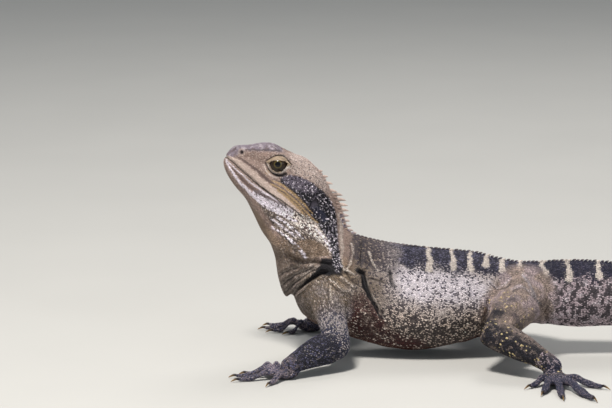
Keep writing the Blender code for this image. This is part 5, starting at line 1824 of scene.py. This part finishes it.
def crest_spines():
    """Root, up, back, height, lean and width of each spine, those of the head first."""
    made = []
    for u, height in HEAD_SPINES:
        near, far = (float(HEAD_CURVES["top"](u + d)[0]) for d in (-1, 1))
        back = (head_place(u + 1, 0, far) - head_place(u - 1, 0, near)).normalized()
        up = Vector((0, 1, 0)).cross(back) * -1
        root = head_place(u, 0, float(HEAD_CURVES["top"](u)[0]) - 0.25)
        made.append((root, up, back, height, HEAD_LEAN, 1.45 + 0.06 * height))
        made.append((root + back * 1.7, up, back, 0.4 * height, HEAD_LEAN, 1.2))
    for place, height, lean, width in crest_plan():
        middle, up, side, above, _, _ = body_frames([place])
        up, side = Vector(up[0]), Vector(side[0])
        root = Vector(middle[0]) + up * (above[0] - 0.25)
        back = side.cross(up)
        made.append((root, up, back, height, lean, width))
        if height > FLANKED_SPINE:
            for sign in (1, -1):
                beside = root + back * 1.9 + side * 1.1 * sign
                made.append((beside, up, back, 0.34 * height, lean + 0.2, 1.05))
    return made


def crest_mesh():
    """All the spines of the crest in one mesh, each grey at its root and pale at its point."""
    c = bpy.context.scene.dragon_colours
    bm = bmesh.new()
    tones = []
    rng = np.random.default_rng(9)
    for spine in crest_spines():
        root, up, _, height, lean, _ = spine
        before = len(bm.verts)
        add_loft(bm, spine_rings(*spine))
        new = list(bm.verts)[before:]
        high = np.array([(v.co - root).dot(up) for v in new]) / (height * math.cos(lean))
        on_head = (root - head_place(60, 0, 20)).length < 30
        base = mix(c.tan if on_head else c.dusk, c.lip, 0.3)
        if height < TALL_SPINE:
            base = paint(np.array([root + Vector((0, 0, -1))]), np.array([0.5]))
        pale = (0.8 if height > TALL_SPINE else 0.28) * step(0.1, 0.8, high)
        tones.append(mix(base, c.lip, pale) * rng.uniform(0.85, 1.1))
    bmesh.ops.triangulate(bm, faces=bm.faces)
    mesh = drawn_mesh(bm, "crest")
    set_tint(mesh, np.concatenate(tones))
    return mesh


def claw_rings(tip, direction, reach):
    """A hooked claw from inside its digit's end down to the floor."""
    out = np.array((-direction[1], direction[0], 0))
    start = tip - direction * CLAW_ROOT
    curve = smooth_curve((
        (0, 0, 1), (0.3, -0.35, 0.86), (0.62, 0.1, 0.6), (0.85, 0.62, 0.34), (1, 1, 0.1),
    ))
    turn = turns(14)
    rings = []
    for share in np.linspace(0, 1, 12):
        drop, fat = curve(share)[0]
        middle = start + direction * (reach * share)
        middle[2] = start[2] - drop * (start[2] - 0.35)
        slope = np.array((0, 0, 1)) + direction * 0.7 * share
        slope /= np.linalg.norm(slope)
        rings.append(
            middle + out * (np.cos(turn) * CLAW_RADIUS * fat * 0.7)[:, None]
            + slope * (np.sin(turn) * CLAW_RADIUS * fat)[:, None])
    return np.array(rings)


def claw_mesh():
    """All twenty claws in one mesh, dark at the root and amber at the point."""
    c = bpy.context.scene.dragon_colours
    bm = bmesh.new()
    tones = []
    for limb, side in JOINTS:
        for root, heading, reach, radius, _ in digit_plan(limb, side):
            direction = np.array((math.cos(heading), math.sin(heading), 0))
            tip = root + direction * reach
            tip[2] = DIGIT_END * radius / DIGIT_DRAWN
            before = len(bm.verts)
            add_loft(bm, claw_rings(tip, direction, CLAW_LENGTH[limb] + CLAW_ROOT))
            new = np.array([v.co[:] for v in list(bm.verts)[before:]])
            along = (new - tip) @ direction / CLAW_LENGTH[limb]
            tones.append(mix(c.limb_dark_and_shade, np.array(c.claw) * 1.5, step(0.1, 0.9, along)))
    mesh = drawn_mesh(bm, "claws")
    set_tint(mesh, np.concatenate(tones))
    return mesh


CORNEA_RADIUS = 3.4
CORNEA_BULGE = 0.045  # how far the cornea stands out at its middle, next to the eyeball's radius


def eye_mesh(sign):
    """An eyeball whose points know how far round they lie from the pupil's middle, in millimetres."""
    bm = bmesh.new()
    bmesh.ops.create_uvsphere(bm, u_segments=64, v_segments=48, radius=EYE_RADIUS)
    middle = head_place(EYE[0], sign * EYE_SIDE, EYE[1])
    look = (head_place(EYE[0] - 0.08, sign, EYE[1] + 0.12) - head_place(EYE[0], 0, EYE[1])).normalized()
    turn = look.to_track_quat("Z", "Y").to_matrix()
    from_pupil = []
    for vert in bm.verts:
        away = math.hypot(vert.co.x, vert.co.y) if vert.co.z > 0 else EYE_RADIUS
        from_pupil.append(away)
        if away < CORNEA_RADIUS:
            vert.co *= 1 + CORNEA_BULGE * (1 - (away / CORNEA_RADIUS) ** 2)
        vert.co = middle + turn @ vert.co
    mesh = drawn_mesh(bm, "eye")
    layer = mesh.attributes.new("from_pupil", "FLOAT", "POINT")
    layer.data.foreach_set("value", np.array(from_pupil, np.float32))
    return mesh


RAY_LENGTH = 0.9  # millimetres by which the rays shift the iris's rings in and out


def wet_eye(name):
    """A moist eye: a dark round pupil in a gold ring and a brown iris, under a clear gloss.

    The film of tears gives a sharp highlight. The iris's rays are 0.8 mm wide, coarser than real ones so
    that they show.
    """
    c = bpy.context.scene.dragon_colours
    made, tree, shader, place = new_material(name)
    away = add_node(tree, "ShaderNodeAttribute", attribute_name="from_pupil").outputs["Fac"]
    rays = add_node(tree, "ShaderNodeTexNoise", [("Vector", place)], Scale=1 / (0.8 * MM), Detail=3)
    rays = rays.outputs["Fac"]
    shifted = add_node(tree, "ShaderNodeMath", [(0, rays), (2, away)], operation="MULTIPLY_ADD")
    shifted.inputs[1].default_value = RAY_LENGTH
    share = add_node(
        tree, "ShaderNodeMapRange", [("Value", shifted.outputs[0])],
        From_Min=RAY_LENGTH / 2, From_Max=EYE_RADIUS + RAY_LENGTH / 2)
    ramp = add_node(tree, "ShaderNodeValToRGB", [("Fac", share.outputs["Result"])])
    black, brown, gold = linear("#06070C"), linear("#1D1511"), linear("#4C4220")
    stops = (
        (0, black), (1.5, black), (1.7, brown), (1.95, gold), (2.3, gold), (2.8, c.iris), (4, c.iris),
        (5, brown), (6.6, black),
    )
    while len(ramp.color_ramp.elements) < len(stops):
        ramp.color_ramp.elements.new(0.5)
    for element, (at, tone) in zip(ramp.color_ramp.elements, stops):
        element.position = at / EYE_RADIUS
        element.color = (*tone, 1)
    tree.links.new(ramp.outputs["Color"], shader.inputs["Base Color"])
    film = add_node(tree, "ShaderNodeMapRange", [("Value", rays)], To_Min=0.05, To_Max=0.14)
    tree.links.new(film.outputs["Result"], shader.inputs["Roughness"])
    raised = add_node(tree, "ShaderNodeBump", [("Height", rays)], Strength=0.05, Distance=0.02 * MM)
    tree.links.new(raised.outputs["Normal"], shader.inputs["Normal"])
    shader.inputs["IOR"].default_value = 1.38  # cornea
    return made


FLOOR_CLOUD = 111  # widths in millimetres
FLOOR_GRAIN = 1.43


def studio_floor(name):
    """Matt rolled paint: pale and hardly glossy, in faint clouds, with the grain that a roller leaves."""
    made, tree, shader, place = new_material(name)
    clouds = add_node(
        tree, "ShaderNodeTexNoise", [("Vector", place)], Scale=1 / (FLOOR_CLOUD * MM), Detail=4)
    clouds = clouds.outputs["Fac"]
    ramp = add_node(tree, "ShaderNodeValToRGB", [("Fac", clouds)])
    tone = np.array(bpy.context.scene.dragon_colours.floor)
    ramp.color_ramp.elements[0].color = (*(tone * 0.97), 1)
    ramp.color_ramp.elements[1].color = (*(tone * 1.02), 1)
    tree.links.new(ramp.outputs["Color"], shader.inputs["Base Color"])
    rough = add_node(tree, "ShaderNodeMapRange", [("Value", clouds)], To_Min=0.62, To_Max=0.78)
    tree.links.new(rough.outputs["Result"], shader.inputs["Roughness"])
    grain = add_node(tree, "ShaderNodeTexNoise", [("Vector", place)], Scale=1 / (FLOOR_GRAIN * MM))
    raised = add_node(
        tree, "ShaderNodeBump", [("Height", grain.outputs["Fac"])], Strength=0.15, Distance=0.2 * MM)
    tree.links.new(raised.outputs["Normal"], shader.inputs["Normal"])
    return made


# One operator for each piece

FLESH = ["head", "lower_jaw", "neck", "torso", "throat"]
FLESH += [f"tail_{number}" for number in range(1, 6)]
FLESH += [f"{part}_{side}" for part in ("upper_arm", "forearm", "hand", "thigh", "shank", "foot")
          for side in ("left", "right")]
CLAWS = [f"{part}_{side}_{number}" for part in ("finger_claw", "toe_claw") for side in ("left", "right")
         for number in range(1, 6)]
SCALE_PIECES = ("face_scales", "cheek_scales", "neck_scales", "fore_scales", "hind_scales", "tail_scales",
                "arm_scales", "left_leg_scales", "right_leg_scales")
# Height next to width, 0.5 where none is given: low granules on the face, spiny scales on the jowls.
SCALE_HEIGHTS = {"face_scales": 0.36, "cheek_scales": 0.7}


class DRAGON_OT_skin(bpy.types.Operator):
    """Make the one skin that covers the whole body"""

    bl_idname = "dragon.skin"
    bl_label = "Skin"

    def execute(self, context):
        mesh = skin_mesh()
        mesh.shade_smooth()
        points = mesh_points(mesh)
        # painted shade on the skin between the scales, darkest where the scales are painted most strongly
        dark = 1 - 0.62 * contrast(points)[:, None]
        set_tint(mesh, paint(points, np.full(len(points), 0.5)) * dark)
        # soft skin between the scales: matter and more wrinkled than they are
        finish_object("skin", mesh, horny_skin("skin between scales", 0.62, 1.6, 0.10), FLESH)
        return {"FINISHED"}


class DRAGON_OT_scales(bpy.types.Operator):
    """Lay the scales on the skin, in nine pieces"""

    bl_idname = "dragon.scales"
    bl_label = "Scales"

    def execute(self, context):
        if "skin" not in bpy.data.objects:
            raise RuntimeError("make the skin first")
        roots = lay_coat(SkinMap())
        part = coat_parts(roots[0])
        # dry horny scales: a faint sheen along their keels
        keratin = horny_skin("keratin scales", 0.58, 2.2, 0.05)
        for number, name in enumerate(SCALE_PIECES):
            mine = [kind[part == number] for kind in roots]
            template = low_scale() if name == "face_scales" else flat_scale()
            tall = SCALE_HEIGHTS.get(name, 0.5)
            finish_object(name, coat_mesh(name, mine, template, tall, 60 + number), keratin)
        return {"FINISHED"}


class DRAGON_OT_crest(bpy.types.Operator):
    """Make the crest of spines along the nape, back and tail"""

    bl_idname = "dragon.crest"
    bl_label = "Crest"

    def execute(self, context):
        # horn worn smooth: glossier than the scales
        finish_object("crest", crest_mesh(), horny_skin("horny spines", 0.48, 1.5, 0.06))
        return {"FINISHED"}


class DRAGON_OT_eyes(bpy.types.Operator):
    """Make the two eyeballs"""

    bl_idname = "dragon.eyes"
    bl_label = "Eyes"

    def execute(self, context):
        wet = wet_eye("wet eye")
        for name, sign in (("eye_left", 1), ("eye_right", -1)):
            finish_object("dragon_" + name, eye_mesh(sign), wet, [name])
        return {"FINISHED"}


class DRAGON_OT_claws(bpy.types.Operator):
    """Make the twenty claws"""

    bl_idname = "dragon.claws"
    bl_label = "Claws"

    def execute(self, context):
        # hard horn polished by use: the glossiest, with hardly a wrinkle
        finish_object("claws", claw_mesh(), horny_skin("claw horn", 0.34, 1, 0.03), CLAWS)
        return {"FINISHED"}


FLOOR_REACH = 8.0
FLOOR_DROP = 0.0002  # so that the floor doesn't coincide with the flats under the feet
SKY = (0.80, 0.86, 0.92, 1.0)
SKY_STRENGTH = 0.36
LAMPS_AIM = Vector((-0.15, 0.0, 0.06))
# Name, place, diameter, watts and colour of each lamp.
LAMPS = (
    ("key", (-0.65, -0.75, 1.7), 0.42, 50.0, (1.0, 0.96, 0.91)),
    ("fill", (1.1, -1.5, 0.7), 1.4, 7.0, (0.86, 0.92, 1.0)),
    ("rim", (0.1, 1.2, 1.5), 0.8, 11.0, (1.0, 0.97, 0.94)),
)
FOCAL_LENGTH = 178.0  # millimetres, which gives the side view's units at the animal's distance
SENSOR_WIDTH = 36.0


class DRAGON_OT_stage(bpy.types.Operator):
    """Make the floor, the lights, the world and the camera"""

    bl_idname = "dragon.stage"
    bl_label = "Stage"

    def execute(self, context):
        scene = context.scene
        bm = bmesh.new()
        bmesh.ops.create_grid(bm, x_segments=2, y_segments=2, size=FLOOR_REACH)
        mesh = bpy.data.meshes.new("floor")
        bm.to_mesh(mesh)
        bm.free()
        mesh.materials.append(studio_floor("matt studio floor"))
        floor = bpy.data.objects.new("floor", mesh)
        floor.location.z = -FLOOR_DROP
        scene.collection.objects.link(floor)

        world = bpy.data.worlds.new("studio")
        world.use_nodes = True
        scene.world = world
        sky = world.node_tree.nodes["Background"]
        sky.inputs["Color"].default_value = SKY
        sky.inputs["Strength"].default_value = SKY_STRENGTH
        for name, place, size, power, tone in LAMPS:
            lamp = bpy.data.lights.new(name, "AREA")
            lamp.shape = "DISK"
            lamp.size = size
            lamp.energy = power
            lamp.color = tone
            made = bpy.data.objects.new(name, lamp)
            made.location = place
            made.rotation_euler = (LAMPS_AIM - made.location).to_track_quat("-Z", "Y").to_euler()
            scene.collection.objects.link(made)

        scene.view_settings.view_transform = "Standard"
        camera = bpy.data.cameras.new("camera")
        camera.lens = FOCAL_LENGTH
        camera.sensor_width = SENSOR_WIDTH
        camera.clip_start = 0.05
        camera.clip_end = 30
        eye = bpy.data.objects.new("camera", camera)
        target = Vector(to_frame((0, 0, VIEW_LEVEL)))
        eye.location = target + Vector((0, -math.cos(VIEW_RISE), math.sin(VIEW_RISE))) * (VIEW_FAR * MM)
        eye.rotation_euler = (target - eye.location).to_track_quat("-Z", "Y").to_euler()
        scene.collection.objects.link(eye)
        scene.camera = eye
        return {"FINISHED"}


OPERATORS = (DRAGON_OT_skin, DRAGON_OT_scales, DRAGON_OT_crest, DRAGON_OT_eyes, DRAGON_OT_claws,
             DRAGON_OT_stage)


class DRAGON_PT_panel(bpy.types.Panel):
    """The sidebar's page for the dragon"""

    bl_idname = "DRAGON_PT_panel"
    bl_label = "Water Dragon"
    bl_space_type = "VIEW_3D"
    bl_region_type = "UI"
    bl_category = "Dragon"

    def draw(self, context):
        column = self.layout.column()
        for owner in (context.scene.dragon_sizes, context.scene.dragon_colours):
            for name in owner.__annotations__:
                column.prop(owner, name)
        for kind in OPERATORS:
            column.operator(kind.bl_idname)


CLASSES = (DragonSizes, DragonColours, *OPERATORS, DRAGON_PT_panel)


def register():
    for kind in CLASSES:
        bpy.utils.register_class(kind)
    bpy.types.Scene.dragon_sizes = bpy.props.PointerProperty(type=DragonSizes)
    bpy.types.Scene.dragon_colours = bpy.props.PointerProperty(type=DragonColours)


def unregister():
    del bpy.types.Scene.dragon_colours
    del bpy.types.Scene.dragon_sizes
    for kind in reversed(CLASSES):
        bpy.utils.unregister_class(kind)


def main():
    """Makes every piece in turn."""
    register()
    bpy.ops.dragon.skin()
    bpy.ops.dragon.scales()
    bpy.ops.dragon.crest()
    bpy.ops.dragon.eyes()
    bpy.ops.dragon.claws()
    bpy.ops.dragon.stage()


if __name__ == "__main__":
    main()
